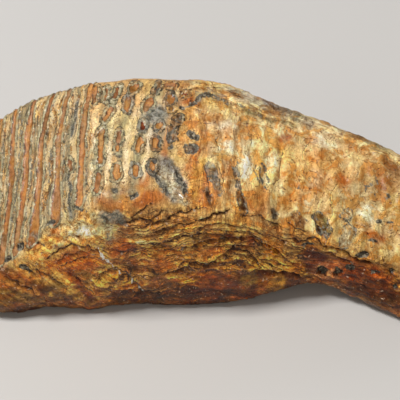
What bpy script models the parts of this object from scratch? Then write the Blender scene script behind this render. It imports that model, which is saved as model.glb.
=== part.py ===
"""Fossil mammoth molar: one solid, standing crown up on its worn root base.

The tooth lies along X, its worn front end at -X and its unworn rear end at +X. The near wall faces -Y.
Lengths are in millimetres until the mesh is written, in metres.
"""

import math

import bmesh
import bpy
import numpy as np
from mathutils import Vector, noise

MM = 0.001
NODE = "mammoth_tooth"

# ---- The form: rails along the tooth, as on a ship's lines plan -------------------------------------

STATIONS = (-150, -116, -102, -87, -58, -15, 25, 50, 68, 90, 118)  # X of each cross-section

# Each rail holds its (Y, Z) at each station. Together they go once round the tooth.
RAILS = {
    "under": (
        (-40, -8), (-38, -8), (-37, -8), (-36, -8), (-35, -8), (-33, -8),
        (-32, -8), (-31, -8), (-32, -5), (-36, -8), (-48, -8),
    ),
    "near sole": (
        (-62, -6), (-70, -6), (-69, -6), (-69, -6), (-67, -6), (-64, -6),
        (-62, -6), (-56, 2), (-55, 8), (-60, 0), (-74, -6),
    ),
    "near base": (
        (-78, 4), (-86, 4), (-84, 4), (-83, 4), (-82, 4), (-79, 4),
        (-78, 4), (-73, 10), (-72, 13), (-77, 6), (-92, 4),
    ),
    "near waist": (
        (-80, 18), (-88, 22), (-88, 29), (-88, 36), (-86, 48), (-83, 46),
        (-80, 40), (-74, 36), (-73, 34), (-78, 28), (-91, 20),
    ),
    "near shoulder": (
        (-71, 30), (-81, 45), (-81, 58), (-80, 71), (-79, 94), (-76, 90),
        (-74, 80), (-71, 67), (-71, 60), (-74, 51), (-79, 37),
    ),
    "near crown": (
        (-58, 38), (-61, 57), (-61, 70), (-60, 82), (-59, 100), (-56, 98),
        (-54, 89), (-53, 77), (-54, 69), (-59, 60), (-66, 49),
    ),
    "crown mid": (
        (-41, 44), (-38, 67), (-38, 79), (-37, 89), (-36, 103), (-33, 102),
        (-31, 94), (-32, 82), (-34, 75), (-40, 68), (-48, 59),
    ),
    "far crown": (
        (-23, 48), (-14, 75), (-13, 86), (-12, 94), (-11, 105), (-9, 103),
        (-8, 94), (-10, 83), (-13, 77), (-20, 71), (-31, 64),
    ),
    "far shoulder": (
        (-10, 48), (2, 76), (4, 86), (6, 93), (8, 102), (11, 100),
        (10, 90), (6, 78), (2, 73), (-4, 68), (-16, 61),
    ),
    "far waist": (
        (-5, 26), (8, 38), (11, 43), (13, 48), (16, 54), (17, 53),
        (16, 48), (13, 42), (10, 38), (3, 35), (-10, 32),
    ),
    "far base": (
        (-10, 4), (0, 4), (3, 4), (5, 4), (8, 4), (9, 4),
        (8, 4), (6, 6), (4, 8), (-3, 5), (-16, 4),
    ),
    "far sole": (
        (-20, -6), (-12, -6), (-10, -6), (-8, -6), (-6, -6), (-5, -6),
        (-6, -6), (-8, -3), (-9, 0), (-15, -4), (-26, -6),
    ),
}
RAIL_NAMES = tuple(RAILS)
NEAR_SHOULDER = RAIL_NAMES.index("near shoulder")
FAR_SHOULDER = RAIL_NAMES.index("far shoulder")

FRONT_NOSE = 17.0  # how far each rounded end reaches past the last station
REAR_NOSE = 20.0
NOSE_SHARE = 0.07  # the share of the mesh's rings that each rounded end takes
NOSE_POWER = 2.2  # 2 is an ellipse, more is boxier
MIDDLE = (-14.5, -36.7)  # X and Y of the middle of the form, which becomes the origin

# ---- Enamel plates --------------------------------------------------------------------------------

# Each worn plate, from the front end: X where it crosses the middle of the crown, and how far across the
# crown it starts and stops. See across().
PLATES = (
    (-154, 0.0, 1.06), (-145, 0.0, 1.06), (-136, 0.0, 1.06), (-127, 0.0, 1.06), (-118, 0.0, 1.06),
    (-109, 0.0, 1.06), (-100, 0.0, 1.06), (-91.5, 0.0, 1.06), (-81.5, 0.02, 1.06), (-75, 0.66, 1.0),
    (-67.5, 0.26, 1.05), (-57, 0.42, 0.6),
)
PLATE_CORE = 1.6  # half the thickness of a plate's dentine core
ENAMEL = 1.5  # thickness of the enamel round a core
RIDGE = 1.1  # how far the enamel stands proud
CORE_HOLLOW = 0.6  # how far the softer dentine is worn below the crown
# How far plates lean along X, by their place across the crown: 0 at the near shoulder, 1 at the far one.
LEAN_AT = (-1.0, 0.0, 0.25, 0.45, 0.6, 0.8, 0.92, 1.0, 1.6, 2.2)
LEAN_X = (-9.0, -7.0, -5.4, -2.5, 0.0, 0.0, 2.0, 5.0, 11.0, 14.0)
CROWN_WIDTH = 90.0  # across the crown from shoulder to shoulder

# The tips of the plates behind, worn into separate rings. A ring or pit is given on the show plane:
# (x, up, half length, half width, turn in degrees). See SHOW_TILT.
RINGS = (
    (-56.0, 20.0, 5.0, 1.5, 88), (-48.5, 65.5, 3.2, 1.4, 70), (-53.0, 50.5, 5.0, 1.5, 68),
    (-46.5, 33.0, 5.6, 2.2, 86), (-48.0, 16.0, 4.8, 1.9, 92), (-39.3, 65.8, 3.0, 2.2, 70),
    (-41.8, 55.3, 5.2, 2.2, 72), (-33.0, 44.0, 3.8, 1.6, 95), (-35.4, 32.5, 5.6, 2.3, 80),
    (-36.8, 17.4, 4.4, 2.0, 92), (-30.6, 55.2, 4.0, 2.3, 58), (-23.4, 45.2, 2.4, 1.9, 60),
    (-25.3, 33.6, 5.0, 2.1, 85), (-27.3, 19.0, 4.2, 2.0, 95), (-17.4, 67.3, 3.0, 1.6, 0),
    (-17.1, 58.6, 3.4, 2.4, 85), (-12.8, 47.0, 3.2, 1.9, 50), (-16.2, 38.4, 3.8, 2.0, 88),
    (-16.6, 30.7, 2.2, 2.0, 90), (-9.9, 62.6, 2.0, 1.3, -10), (-5.6, 29.8, 2.8, 1.9, -25),
)

# ---- The broken and weathered walls ------------------------------------------------------------------

SHOW_TILT = math.radians(52)  # the show plane faces this far above the near wall's outward direction

# Ledges where the layers of the near wall have broken away: (points on the show plane, width, depth, lip).
# A groove of that width and depth runs along the points, and the side above it stands proud by the lip.
LEDGES = (
    (((-43, -12), (-36, -11), (-29, -9.6), (-21.5, -5.5)), 2.2, 1.6, 1.2),
    (((-27, -13.3), (-18, -9.6), (-4, -5.7), (2, -3.8)), 2.2, 1.4, 1.0),
    (((-26.5, -18), (-12, -14.4), (5, -9.5), (16, -6.5)), 2.4, 2.2, 1.8),
    (((-2.5, -25), (5, -22.5), (15, -21.5), (31, -22), (46, -29)), 2.8, 3.0, 2.6),
    (((-6, -37), (4.5, -36.6), (11, -33), (16, -29.2), (20, -26.4)), 2.4, 2.4, 1.6),
    (((31, -40.4), (41, -41), (48, -42.3), (58, -43.2)), 2.6, 2.2, 3.0),
    (((-61, -26), (-58, -31), (-54, -35), (-49.5, -40), (-44, -43), (-36.5, -50)), 2.0, 2.0, 0.6),
    (((-88, -31), (-80, -28), (-73, -27), (-65, -27)), 2.2, 1.4, 1.6),
    (((-116, -29), (-104, -34), (-92, -39), (-80, -43)), 2.4, 1.2, 1.4),
    (((63, -8), (66, -10.6), (69, -14.4), (72, -20.6)), 2.4, 2.8, 0.8),
    (((73, -25.5), (79, -27), (86, -30.3), (93.5, -34.6), (99, -36)), 2.2, 2.4, 2.0),
)
LEDGE_REACH = 9.0  # how quickly a lip falls back to the wall
# Pits, as rings are given, with a depth.
PITS = (
    (-102, -40.5, 4.2, 1.4, -33, 1.8), (72.0, -41.2, 2.8, 2.6, 0, 4.0), (80.6, -41.8, 2.4, 2.3, 0, 3.4),
    (88.0, -39.4, 2.0, 1.6, 0, 2.2), (94.5, -30.2, 4.4, 1.8, -8, 2.4), (101.5, -23.3, 3.6, 1.2, 0, 1.6),
    (112.0, -41.4, 1.6, 1.5, 0, 2.0), (43.0, -8.6, 2.6, 1.8, -60, 1.8), (24.0, -2.0, 4.6, 1.5, -65, 1.6),
    (-4.6, 38.0, 3.2, 1.4, -32, 1.4), (-10.5, 54.0, 1.6, 1.5, 0, 1.4), (63.0, -26.2, 2.4, 1.0, 0, 1.2),
)

RIB_PITCH = 9.0  # the plates show as ribs down the far wall, this far apart
RIB_HEIGHT = 1.1
LUMPS = ((32.0, 2.2), (12.0, 1.2), (5.0, 0.5))  # (size, height) of the lumps on the walls
CROWN_LUMPS = 0.5  # the share of them that the crown has

# ---- Mesh ---------------------------------------------------------------------------------------------

RINGS_ALONG = 330  # of the fine mesh, before it is thinned
STEPS_ROUND = 216
MOST_TRIANGLES = 10800
FLOOR_BLOCK = (400.0, 300.0, 40.0)  # cuts the root base flat


def blend(x, low, high):
    """0 below low, 1 above high, and smooth between."""
    t = np.clip((x - low) / (high - low), 0.0, 1.0)
    return t * t * (3 - 2 * t)


def spline(x, knots, values):
    """A smooth curve through values at knots, read at x."""
    knots = np.asarray(knots, float)
    values = np.asarray(values, float)
    slopes = np.gradient(values, knots)
    i = np.clip(np.searchsorted(knots, x) - 1, 0, len(knots) - 2)
    gap = knots[i + 1] - knots[i]
    t = np.clip((x - knots[i]) / gap, 0.0, 1.0)
    start = (1 + 2 * t) * (1 - t) ** 2 * values[i] + t * (1 - t) ** 2 * gap * slopes[i]
    end = t * t * (3 - 2 * t) * values[i + 1] - t * t * (1 - t) * gap * slopes[i + 1]
    return start + end


def lumps(points, size, seed):
    """Smooth noise from -1 to 1 with features of the given size."""
    shift = Vector((seed * 17.3, seed * 5.1, seed * 9.7))
    return np.array([noise.noise(Vector(p) / size + shift) for p in points])


def across(rail):
    """Place across the crown: 0 at the near shoulder, 1 at the far one, below 0 or above 1 on the walls."""
    return (rail - NEAR_SHOULDER) / (FAR_SHOULDER - NEAR_SHOULDER)


def sections(x, rail):
    """Y and Z where the section at x crosses a place round the tooth, given in rails."""
    count = len(RAIL_NAMES)
    first = np.floor(rail).astype(int)
    t = rail - first
    weights = (
        0.5 * (-t + 2 * t**2 - t**3),
        0.5 * (2 - 5 * t**2 + 3 * t**3),
        0.5 * (t + 4 * t**2 - 3 * t**3),
        0.5 * (-(t**2) + t**3),
    )
    place = np.zeros((len(x), 2))
    for step, weight in enumerate(weights, start=-1):
        for index, name in enumerate(RAIL_NAMES):
            here = (first + step) % count == index
            for axis in (0, 1):
                values = [point[axis] for point in RAILS[name]]
                place[here, axis] += weight[here] * spline(x[here], STATIONS, values)
    return place


def surface(along, rail):
    """Points of the plain form. along runs from -1 at the front pole to 1 at the rear pole."""
    front = np.clip((along + 1) / NOSE_SHARE, 0.0, 1.0)
    rear = np.clip((1 - along) / NOSE_SHARE, 0.0, 1.0)
    body = np.clip((along + 1 - NOSE_SHARE) / (2 - 2 * NOSE_SHARE), 0.0, 1.0)
    station = STATIONS[0] + body * (STATIONS[-1] - STATIONS[0])
    end = np.minimum(front, rear)
    size = np.sin(end * math.pi / 2) ** (2 / NOSE_POWER)
    reach = np.cos(end * math.pi / 2) ** (2 / NOSE_POWER)
    straight = blend(station, STATIONS[0], STATIONS[0] + 25) * blend(-station, -STATIONS[-1], -STATIONS[-1] + 25)
    lean = np.interp(across(rail), LEAN_AT, LEAN_X) * straight
    place = sections(station + lean, rail)
    count = len(RAIL_NAMES)
    heart = np.zeros_like(place)
    for index in range(count):
        heart += sections(station + lean, np.full(len(rail), float(index))) / count
    place = heart + (place - heart) * size[:, None]
    x = station + lean + reach * np.where(along < 0, -FRONT_NOSE, REAR_NOSE)
    return np.column_stack((x, place))


def oval(x, up, mark):
    """Distance outside a round-ended slot on the show plane, negative inside it."""
    centre_x, centre_up, long, wide, turn = mark[:5]
    angle = math.radians(turn)
    a = (x - centre_x) * math.cos(angle) + (up - centre_up) * math.sin(angle)
    b = (up - centre_up) * math.cos(angle) - (x - centre_x) * math.sin(angle)
    a = np.abs(a) - np.clip(np.abs(a), 0.0, max(long - wide, 0.0))
    return np.hypot(a, b) - wide


def polyline(x, up, points):
    """Distance from a line on the show plane, and which side of it a place is: above is positive."""
    best = np.full(len(x), 1e6)
    side = np.zeros(len(x))
    for (x0, up0), (x1, up1) in zip(points, points[1:]):
        run = np.array((x1 - x0, up1 - up0), float)
        t = np.clip(((x - x0) * run[0] + (up - up0) * run[1]) / (run @ run), 0.0, 1.0)
        dx = x - x0 - t * run[0]
        dup = up - up0 - t * run[1]
        away = np.hypot(dx, dup)
        nearer = away < best
        best = np.where(nearer, away, best)
        side = np.where(nearer, np.sign(run[0] * dup - run[1] * dx), side)
    return best, side


def core_distance(points, rail, shown):
    """Distance outside the nearest dentine core, in a plate or a ring."""
    place = across(rail)
    wander = 0.9 * lumps(points, 18.0, 3)
    along = points[:, 0] - np.interp(place, LEAN_AT, LEAN_X) + wander
    best = np.full(len(points), 99.0)
    for x, near, far in PLATES:
        beyond = CROWN_WIDTH * np.maximum(np.maximum(near - place, place - far), 0.0)
        best = np.minimum(best, np.hypot(along - x, beyond) - PLATE_CORE)
    up = show_height(points)
    hidden = 30 * (1 - shown)
    for ring in RINGS:
        best = np.minimum(best, oval(points[:, 0], up, ring) + hidden)
    return best


def show_height(points):
    """Height on the show plane."""
    return points[:, 1] * math.sin(SHOW_TILT) + points[:, 2] * math.cos(SHOW_TILT)


def relief(points, normals, rail):
    """How far each point moves out along its normal."""
    x = points[:, 0]
    up = show_height(points)
    facing = normals[:, 2] * math.sin(SHOW_TILT) - normals[:, 1] * math.cos(SHOW_TILT)
    shown = blend(facing, 0.0, 0.25)
    place = across(rail)
    crown = blend(place, -0.12, 0.1) * blend(-place, -1.1, -0.9)
    height = np.zeros(len(points))
    for number, (size, tall) in enumerate(LUMPS):
        height += tall * lumps(points, size, number)
    height *= 1 + (CROWN_LUMPS - 1) * crown

    core = core_distance(points, rail, shown)
    height += RIDGE * np.exp(-(((core - ENAMEL / 2) / (0.6 * ENAMEL)) ** 2))
    height -= CORE_HOLLOW * blend(-core, 0.0, 0.8)

    for line, width, depth, lip in LEDGES:
        away, side = polyline(x, up, line)
        height -= shown * depth * np.exp(-((away / width) ** 2))
        height += shown * lip * (side > 0) * blend(away, 0.0, width) * np.exp(-away / LEDGE_REACH)
    for pit in PITS:
        height -= shown * pit[5] * blend(-oval(x, up, pit), -0.8, 1.2)

    far_wall = blend(place, 1.05, 1.25) * blend(points[:, 2], 8, 30)
    lean = np.interp(place, LEAN_AT, LEAN_X)
    ribs = np.cos((x - lean) * 2 * math.pi / RIB_PITCH + 1.5 * lumps(points, 25.0, 8))
    return height + far_wall * RIB_HEIGHT * ribs


def ball():
    """A unit sphere as a bmesh, and for each vertex its step along (-1 to 1) and round (in rails)."""
    mesh = bmesh.new()
    bmesh.ops.create_uvsphere(mesh, u_segments=STEPS_ROUND, v_segments=RINGS_ALONG, radius=1.0)
    unit = np.array([vertex.co for vertex in mesh.verts])
    along = 1 - 2 * np.arccos(np.clip(unit[:, 2], -1, 1)) / math.pi
    turn = np.arctan2(unit[:, 1], unit[:, 0]) / (2 * math.pi) % 1.0
    return mesh, along, turn * len(RAIL_NAMES)


def place_vertices(mesh, points):
    """Moves the vertices to the points, given in millimetres."""
    for vertex, point in zip(mesh.verts, points):
        vertex.co = point * MM


def fine_tooth():
    """The tooth with all its relief, still rounded underneath, as an object."""
    mesh, along, rail = ball()
    points = surface(along, rail)
    place_vertices(mesh, points)
    bmesh.ops.recalc_face_normals(mesh, faces=mesh.faces)
    mesh.normal_update()
    normals = np.array([vertex.normal for vertex in mesh.verts])
    ends = blend(1 - np.abs(along), 0.0, 0.05)
    points += normals * (relief(points, normals, rail) * ends)[:, None]
    points[:, 0] -= MIDDLE[0]
    points[:, 1] -= MIDDLE[1]
    place_vertices(mesh, points)
    data = bpy.data.meshes.new(NODE)
    mesh.to_mesh(data)
    mesh.free()
    return bpy.data.objects.new(NODE, data)


def thin(tooth):
    """Merges triangles where the surface is nearly flat."""
    thinner = tooth.modifiers.new("fewer triangles", "DECIMATE")
    triangles = sum(len(face.vertices) - 2 for face in tooth.data.polygons)
    thinner.ratio = MOST_TRIANGLES / triangles
    thinner.use_collapse_triangulate = True


def cut_base(tooth, helpers):
    """Cuts the root base off flat at the floor, where it stands."""
    length, width, depth = (side * MM for side in FLOOR_BLOCK)
    bpy.ops.mesh.primitive_cube_add(size=1, location=(0, 0, -depth / 2))
    block = bpy.context.object
    block.name = "floor_block"
    block.scale = (length, width, depth)
    block.hide_render = True
    block.display_type = "WIRE"
    for collection in block.users_collection:
        collection.objects.unlink(block)
    helpers.objects.link(block)
    cut = tooth.modifiers.new("flat base", "BOOLEAN")
    cut.operation = "DIFFERENCE"
    cut.object = block


def fossil_material():
    """Iron-stained fossil ivory, between the tan of the crown and the brown of the root."""
    material = bpy.data.materials.new("fossil tooth")
    material.use_nodes = True
    shader = material.node_tree.nodes["Principled BSDF"]
    shader.inputs["Base Color"].default_value = (0.38, 0.20, 0.085, 1)
    shader.inputs["Roughness"].default_value = 0.5
    shader.inputs["Metallic"].default_value = 0.0
    return material


def collection(name):
    """A new collection in the scene."""
    made = bpy.data.collections.new(name)
    bpy.context.scene.collection.children.link(made)
    return made


def main():
    for old in list(bpy.data.objects):
        bpy.data.objects.remove(old)
    parts = collection("Mammoth tooth")
    helpers = collection("Cutters")
    tooth = fine_tooth()
    parts.objects.link(tooth)
    tooth.data.materials.append(fossil_material())
    thin(tooth)
    cut_base(tooth, helpers)


main()
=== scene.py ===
"""Fossil mammoth molar: the looks.

One fine mesh replaces the tooth's solid. Its form is the solid's own set of rails along the tooth. The
worn plates, the rings behind them, the ledges, cracks and pits are modelled in it, and the stains that
the ground left are painted on it as attributes, which the material turns into crisp bands and grain.

Lengths are in millimetres until the mesh is written, in metres. Marks on the side that shows best are
placed on the show plane: x along the tooth, and up, which is height on a plane square to a line of sight
52 degrees above the near wall. Both are counted from the tooth's rails, not from the frame's origin.
"""

from __future__ import annotations

import logging
import math
from dataclasses import dataclass
from enum import Enum
from typing import ClassVar, Sequence

import bmesh
import bpy
import numpy as np
from mathutils import Euler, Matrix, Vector, noise


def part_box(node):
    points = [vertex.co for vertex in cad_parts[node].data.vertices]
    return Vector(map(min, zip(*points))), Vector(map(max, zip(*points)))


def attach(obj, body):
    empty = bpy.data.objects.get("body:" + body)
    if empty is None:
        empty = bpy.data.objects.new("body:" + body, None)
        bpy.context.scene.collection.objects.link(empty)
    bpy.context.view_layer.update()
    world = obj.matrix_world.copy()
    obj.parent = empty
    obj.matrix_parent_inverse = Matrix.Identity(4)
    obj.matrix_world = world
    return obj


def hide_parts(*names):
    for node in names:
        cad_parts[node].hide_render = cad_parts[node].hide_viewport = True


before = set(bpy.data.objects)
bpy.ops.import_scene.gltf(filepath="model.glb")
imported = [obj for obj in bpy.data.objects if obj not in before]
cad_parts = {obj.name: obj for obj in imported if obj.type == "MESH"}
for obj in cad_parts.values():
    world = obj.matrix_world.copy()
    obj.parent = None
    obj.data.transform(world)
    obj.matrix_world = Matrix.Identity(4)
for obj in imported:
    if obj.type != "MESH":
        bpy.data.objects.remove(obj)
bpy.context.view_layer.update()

Socket = bpy.types.NodeSocket
Value = Socket | float | tuple[float, ...]  # what a node's input takes
Pair = tuple[float, float]
Tint = tuple[float, float, float]
Colour = tuple[float, float, float, float]

LOG = logging.getLogger("mammoth tooth")
MM = 0.001
NODE = "mammoth_tooth"
SHOW_TILT = math.radians(52)
FAR_AWAY = 40.0  # millimetres from a mark, where none has been laid
OUT_OF_REACH = 30.0  # millimetres added to every mark's distance on the sides that the show plane hides
UNMARKED = -3.0  # millimetres inside a crisp mark, where none has been laid
OPEN = 99.0  # millimetres to the solid's box, where it sets no limit


# ---- Sums used all over ------------------------------------------------------------------------------


def blend(x: np.ndarray, low: float, high: float) -> np.ndarray:
    """Goes smoothly from 0 at low to 1 at high.

    Args:
        x: The values to read it at.
        low: Where it leaves 0.
        high: Where it reaches 1.

    Returns:
        Values from 0 to 1.
    """
    t = np.clip((x - low) / (high - low), 0.0, 1.0)
    return t * t * (3 - 2 * t)


def spline(x: np.ndarray, knots: Sequence[float], values: Sequence[float]) -> np.ndarray:
    """Reads a smooth curve through values at knots.

    Args:
        x: The places to read it at.
        knots: The places that have a value, in rising order.
        values: The value at each knot.

    Returns:
        The curve's value at each x.
    """
    at = np.asarray(knots, float)
    level = np.asarray(values, float)
    slopes = np.gradient(level, at)
    i = np.clip(np.searchsorted(at, x) - 1, 0, len(at) - 2)
    gap = at[i + 1] - at[i]
    t = np.clip((x - at[i]) / gap, 0.0, 1.0)
    start = (1 + 2 * t) * (1 - t) ** 2 * level[i] + t * (1 - t) ** 2 * gap * slopes[i]
    end = t * t * (3 - 2 * t) * level[i + 1] - t * t * (1 - t) * gap * slopes[i + 1]
    return start + end


def grain(points: np.ndarray, size: float | Sequence[float], seed: int, octaves: int = 1) -> np.ndarray:
    """Smooth noise in space, the same on every run.

    Args:
        points: Where to read it, in millimetres.
        size: How large its features are, or how large along each axis.
        seed: Which of the many noises to read.
        octaves: How many finer copies are added, each half as large and half as strong.

    Returns:
        Values around 0, nearly all from -1 to 1.
    """
    scaled = points / np.asarray(size, float) + np.array((17.3, 5.1, 9.7)) * seed
    total = np.zeros(len(points))
    for octave in range(octaves):
        finer = scaled * 2**octave
        total += np.array([noise.noise(Vector(place)) for place in finer]) / 2**octave
    return total * 1.5


# ---- Palette -----------------------------------------------------------------------------------------


class Tone(Enum):
    """The colours of the fossil, as 8-bit screen values."""

    CHALK = (232, 226, 206)
    CREAM = (226, 196, 138)
    STRAW = (212, 172, 102)
    GOLD = (206, 148, 68)
    ORANGE = (188, 110, 42)
    RUST = (146, 68, 26)
    TAN = (176, 128, 74)
    BROWN = (120, 72, 32)
    UMBER = (70, 38, 16)
    OLIVE = (120, 108, 66)
    PINK = (184, 136, 112)
    GREY = (132, 130, 120)
    SLATE = (74, 76, 76)
    BLACK = (30, 27, 25)
    SHELL = (188, 180, 148)
    SAGE = (150, 143, 114)
    BUTTER = (220, 180, 116)
    BRICK = (186, 134, 88)
    AMBER = (198, 144, 86)
    CLAY = (182, 138, 98)
    MAROON = (98, 46, 28)
    IVORY = (246, 226, 182)
    ASH = (126, 125, 116)

    @property
    def linear(self) -> Tint:
        """The colour in linear light."""
        return tuple(((part / 255 + 0.055) / 1.055) ** 2.4 for part in self.value)

    @property
    def rgba(self) -> Colour:
        """The colour in linear light, opaque."""
        return (*self.linear, 1.0)


class Mark(Enum):
    """The crisp marks, which the finish draws with ragged edges."""

    DARK = 0
    PALE = 1
    GREY = 2


# ---- Marks on the show plane -------------------------------------------------------------------------


@dataclass(frozen=True)
class Oval:
    """A round-ended slot on the show plane."""

    x: float
    up: float
    long: float
    wide: float
    turn: float

    def outside(self, x: np.ndarray, up: np.ndarray) -> np.ndarray:
        """Measures how far places are outside the slot.

        Args:
            x: Along the tooth.
            up: Up the show plane.

        Returns:
            Millimetres outside it, negative inside.
        """
        angle = math.radians(self.turn)
        a = (x - self.x) * math.cos(angle) + (up - self.up) * math.sin(angle)
        b = (up - self.up) * math.cos(angle) - (x - self.x) * math.sin(angle)
        a = np.abs(a) - np.clip(np.abs(a), 0.0, max(self.long - self.wide, 0.0))
        return np.hypot(a, b) - self.wide


@dataclass(frozen=True)
class Ring(Oval):
    """The tip of a plate, worn into a ring of enamel round its own core."""

    core: Tone
    rim: Tone = Tone.SAGE


@dataclass(frozen=True)
class Plate:
    """A plate worn across the crown: x at its middle, where it starts and stops, and how its ends lean."""

    x: float
    near: float
    far: float
    foot: float
    head: float
    core: Tone
    flare: float = 0.5


@dataclass(frozen=True)
class Stain(Oval):
    """A patch of colour with a soft, ragged edge."""

    tone: Tone
    strength: float


@dataclass(frozen=True)
class Wash(Oval):
    """A broad tint with a soft edge, which leaves the markings under it."""

    tint: Tint
    soft: float = 6.0


@dataclass(frozen=True)
class Line:
    """A line on the show plane."""

    points: tuple[Pair, ...]

    def away(self, x: np.ndarray, up: np.ndarray) -> tuple[np.ndarray, np.ndarray]:
        """Measures places from the line.

        Args:
            x: Along the tooth.
            up: Up the show plane.

        Returns:
            The distance from the line, and its side: 1 to the left of the line's direction, -1 to the right.
        """
        best = np.full(len(x), 1e6)
        side = np.zeros(len(x))
        for (x0, up0), (x1, up1) in zip(self.points, self.points[1:]):
            run = np.array((x1 - x0, up1 - up0), float)
            t = np.clip(((x - x0) * run[0] + (up - up0) * run[1]) / (run @ run), 0.0, 1.0)
            dx = x - x0 - t * run[0]
            dup = up - up0 - t * run[1]
            gap = np.hypot(dx, dup)
            nearer = gap < best
            best = np.where(nearer, gap, best)
            side = np.where(nearer, np.sign(run[0] * dup - run[1] * dx), side)
        return best, side


@dataclass(frozen=True)
class Crack(Line):
    """A crack or ledge: a groove, with the side to its left standing proud by the lip."""

    width: float
    depth: float
    lip: float


@dataclass(frozen=True)
class Streak(Line):
    """A line of colour, with no depth."""

    width: float
    tone: Tone
    strength: float


@dataclass(frozen=True)
class Pit(Oval):
    """A dark hollow."""

    depth: float


@dataclass(frozen=True)
class Window(Oval):
    """A place where the coat has gone, with a dark, broken outline."""

    tone: Tone
    edge: float
    spots: float = 0.5


# ---- The form ----------------------------------------------------------------------------------------


@dataclass(frozen=True)
class Form:
    """The tooth's plain form: rails along it, and a rounded nose at each end."""

    stations: tuple[float, ...] = (-150, -116, -102, -87, -58, -15, 25, 50, 68, 90, 118)
    rails: tuple[tuple[Pair, ...], ...] = (
        (  # under
            (-40, -8), (-38, -8), (-37, -8), (-36, -8), (-35, -8), (-33, -8),
            (-32, -8), (-31, -8), (-32, -5), (-36, -8), (-48, -8),
        ),
        (  # near sole
            (-62, -6), (-70, -6), (-69, -6), (-69, -6), (-67, -6), (-64, -6),
            (-62, -6), (-56, 2), (-55, 8), (-60, 0), (-74, -6),
        ),
        (  # near base
            (-78, 4), (-86, 4), (-84, 4), (-83, 4), (-82, 4), (-79, 4),
            (-78, 4), (-73, 10), (-72, 13), (-77, 6), (-92, 4),
        ),
        (  # near waist
            (-80, 18), (-88, 22), (-88, 29), (-88, 36), (-86, 48), (-83, 46),
            (-80, 40), (-74, 36), (-73, 34), (-78, 28), (-91, 20),
        ),
        (  # near shoulder
            (-71, 30), (-81, 45), (-81, 58), (-80, 71), (-79, 94), (-76, 90),
            (-74, 80), (-71, 67), (-71, 60), (-74, 51), (-79, 37),
        ),
        (  # near crown
            (-58, 38), (-61, 57), (-61, 70), (-60, 82), (-59, 100), (-56, 98),
            (-54, 89), (-53, 77), (-54, 69), (-59, 60), (-66, 49),
        ),
        (  # crown mid
            (-41, 44), (-38, 67), (-38, 79), (-37, 89), (-36, 103), (-33, 102),
            (-31, 94), (-32, 82), (-34, 75), (-40, 68), (-48, 59),
        ),
        (  # far crown
            (-23, 48), (-14, 75), (-13, 86), (-12, 94), (-11, 105), (-9, 103),
            (-8, 94), (-10, 83), (-13, 77), (-20, 71), (-31, 64),
        ),
        (  # far shoulder
            (-10, 48), (2, 76), (4, 86), (6, 93), (8, 102), (11, 100),
            (10, 90), (6, 78), (2, 73), (-4, 68), (-16, 61),
        ),
        (  # far waist
            (-5, 26), (8, 38), (11, 43), (13, 48), (16, 54), (17, 53),
            (16, 48), (13, 42), (10, 38), (3, 35), (-10, 32),
        ),
        (  # far base
            (-10, 4), (0, 4), (3, 4), (5, 4), (8, 4), (9, 4),
            (8, 4), (6, 6), (4, 8), (-3, 5), (-16, 4),
        ),
        (  # far sole
            (-20, -6), (-12, -6), (-10, -6), (-8, -6), (-6, -6), (-5, -6),
            (-6, -6), (-8, -3), (-9, 0), (-15, -4), (-26, -6),
        ),
    )
    near_shoulder: int = 4
    far_shoulder: int = 8
    front_nose: float = 17.0
    rear_nose: float = 20.0
    nose_power: float = 2.2
    straight_ends: float = 25.0
    lean_at: tuple[float, ...] = (-1.0, 0.0, 0.25, 0.45, 0.6, 0.8, 0.92, 1.0, 1.6, 2.2)
    lean_x: tuple[float, ...] = (-9.0, -7.0, -5.4, -2.5, 0.0, 0.0, 2.0, 5.0, 11.0, 14.0)

    def across(self, rail: np.ndarray) -> np.ndarray:
        """Place across the crown: 0 at the near shoulder and 1 at the far one."""
        return (rail - self.near_shoulder) / (self.far_shoulder - self.near_shoulder)

    def lean(self, rail: np.ndarray) -> np.ndarray:
        """How far the plates lean along x at a place round the tooth."""
        return np.interp(self.across(rail), self.lean_at, self.lean_x)

    def surface(self, station: np.ndarray, end: np.ndarray, rail: np.ndarray) -> np.ndarray:
        """Works out points of the form.

        Args:
            station: x of each point's cross-section.
            end: 1 along the body, falling to 0 at the pole of a nose.
            rail: Place round the tooth, in rails.

        Returns:
            The points, one a row.
        """
        first, last = self.stations[0], self.stations[-1]
        straight = blend(station, first, first + self.straight_ends)
        straight = straight * blend(-station, -last, self.straight_ends - last)
        x = station + self.lean(rail) * straight
        lines = np.array(
            [[spline(x, self.stations, [p[axis] for p in line]) for axis in (0, 1)] for line in self.rails]
        )
        count = len(self.rails)
        low = np.floor(rail).astype(int)
        t = rail - low
        weights = (
            0.5 * (-t + 2 * t**2 - t**3),
            0.5 * (2 - 5 * t**2 + 3 * t**3),
            0.5 * (t + 4 * t**2 - 3 * t**3),
            0.5 * (-(t**2) + t**3),
        )
        every = np.arange(len(x))
        place = sum(
            weight[:, None] * lines[(low + step) % count, :, every]
            for step, weight in enumerate(weights, start=-1)
        )
        heart = lines.mean(axis=0).T
        size = np.sin(end * math.pi / 2) ** (2 / self.nose_power)
        reach = np.cos(end * math.pi / 2) ** (2 / self.nose_power)
        place = heart + (place - heart) * size[:, None]
        nose = np.where(station < 0, -self.front_nose, self.rear_nose)
        return np.column_stack((x + reach * nose, place))


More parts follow.
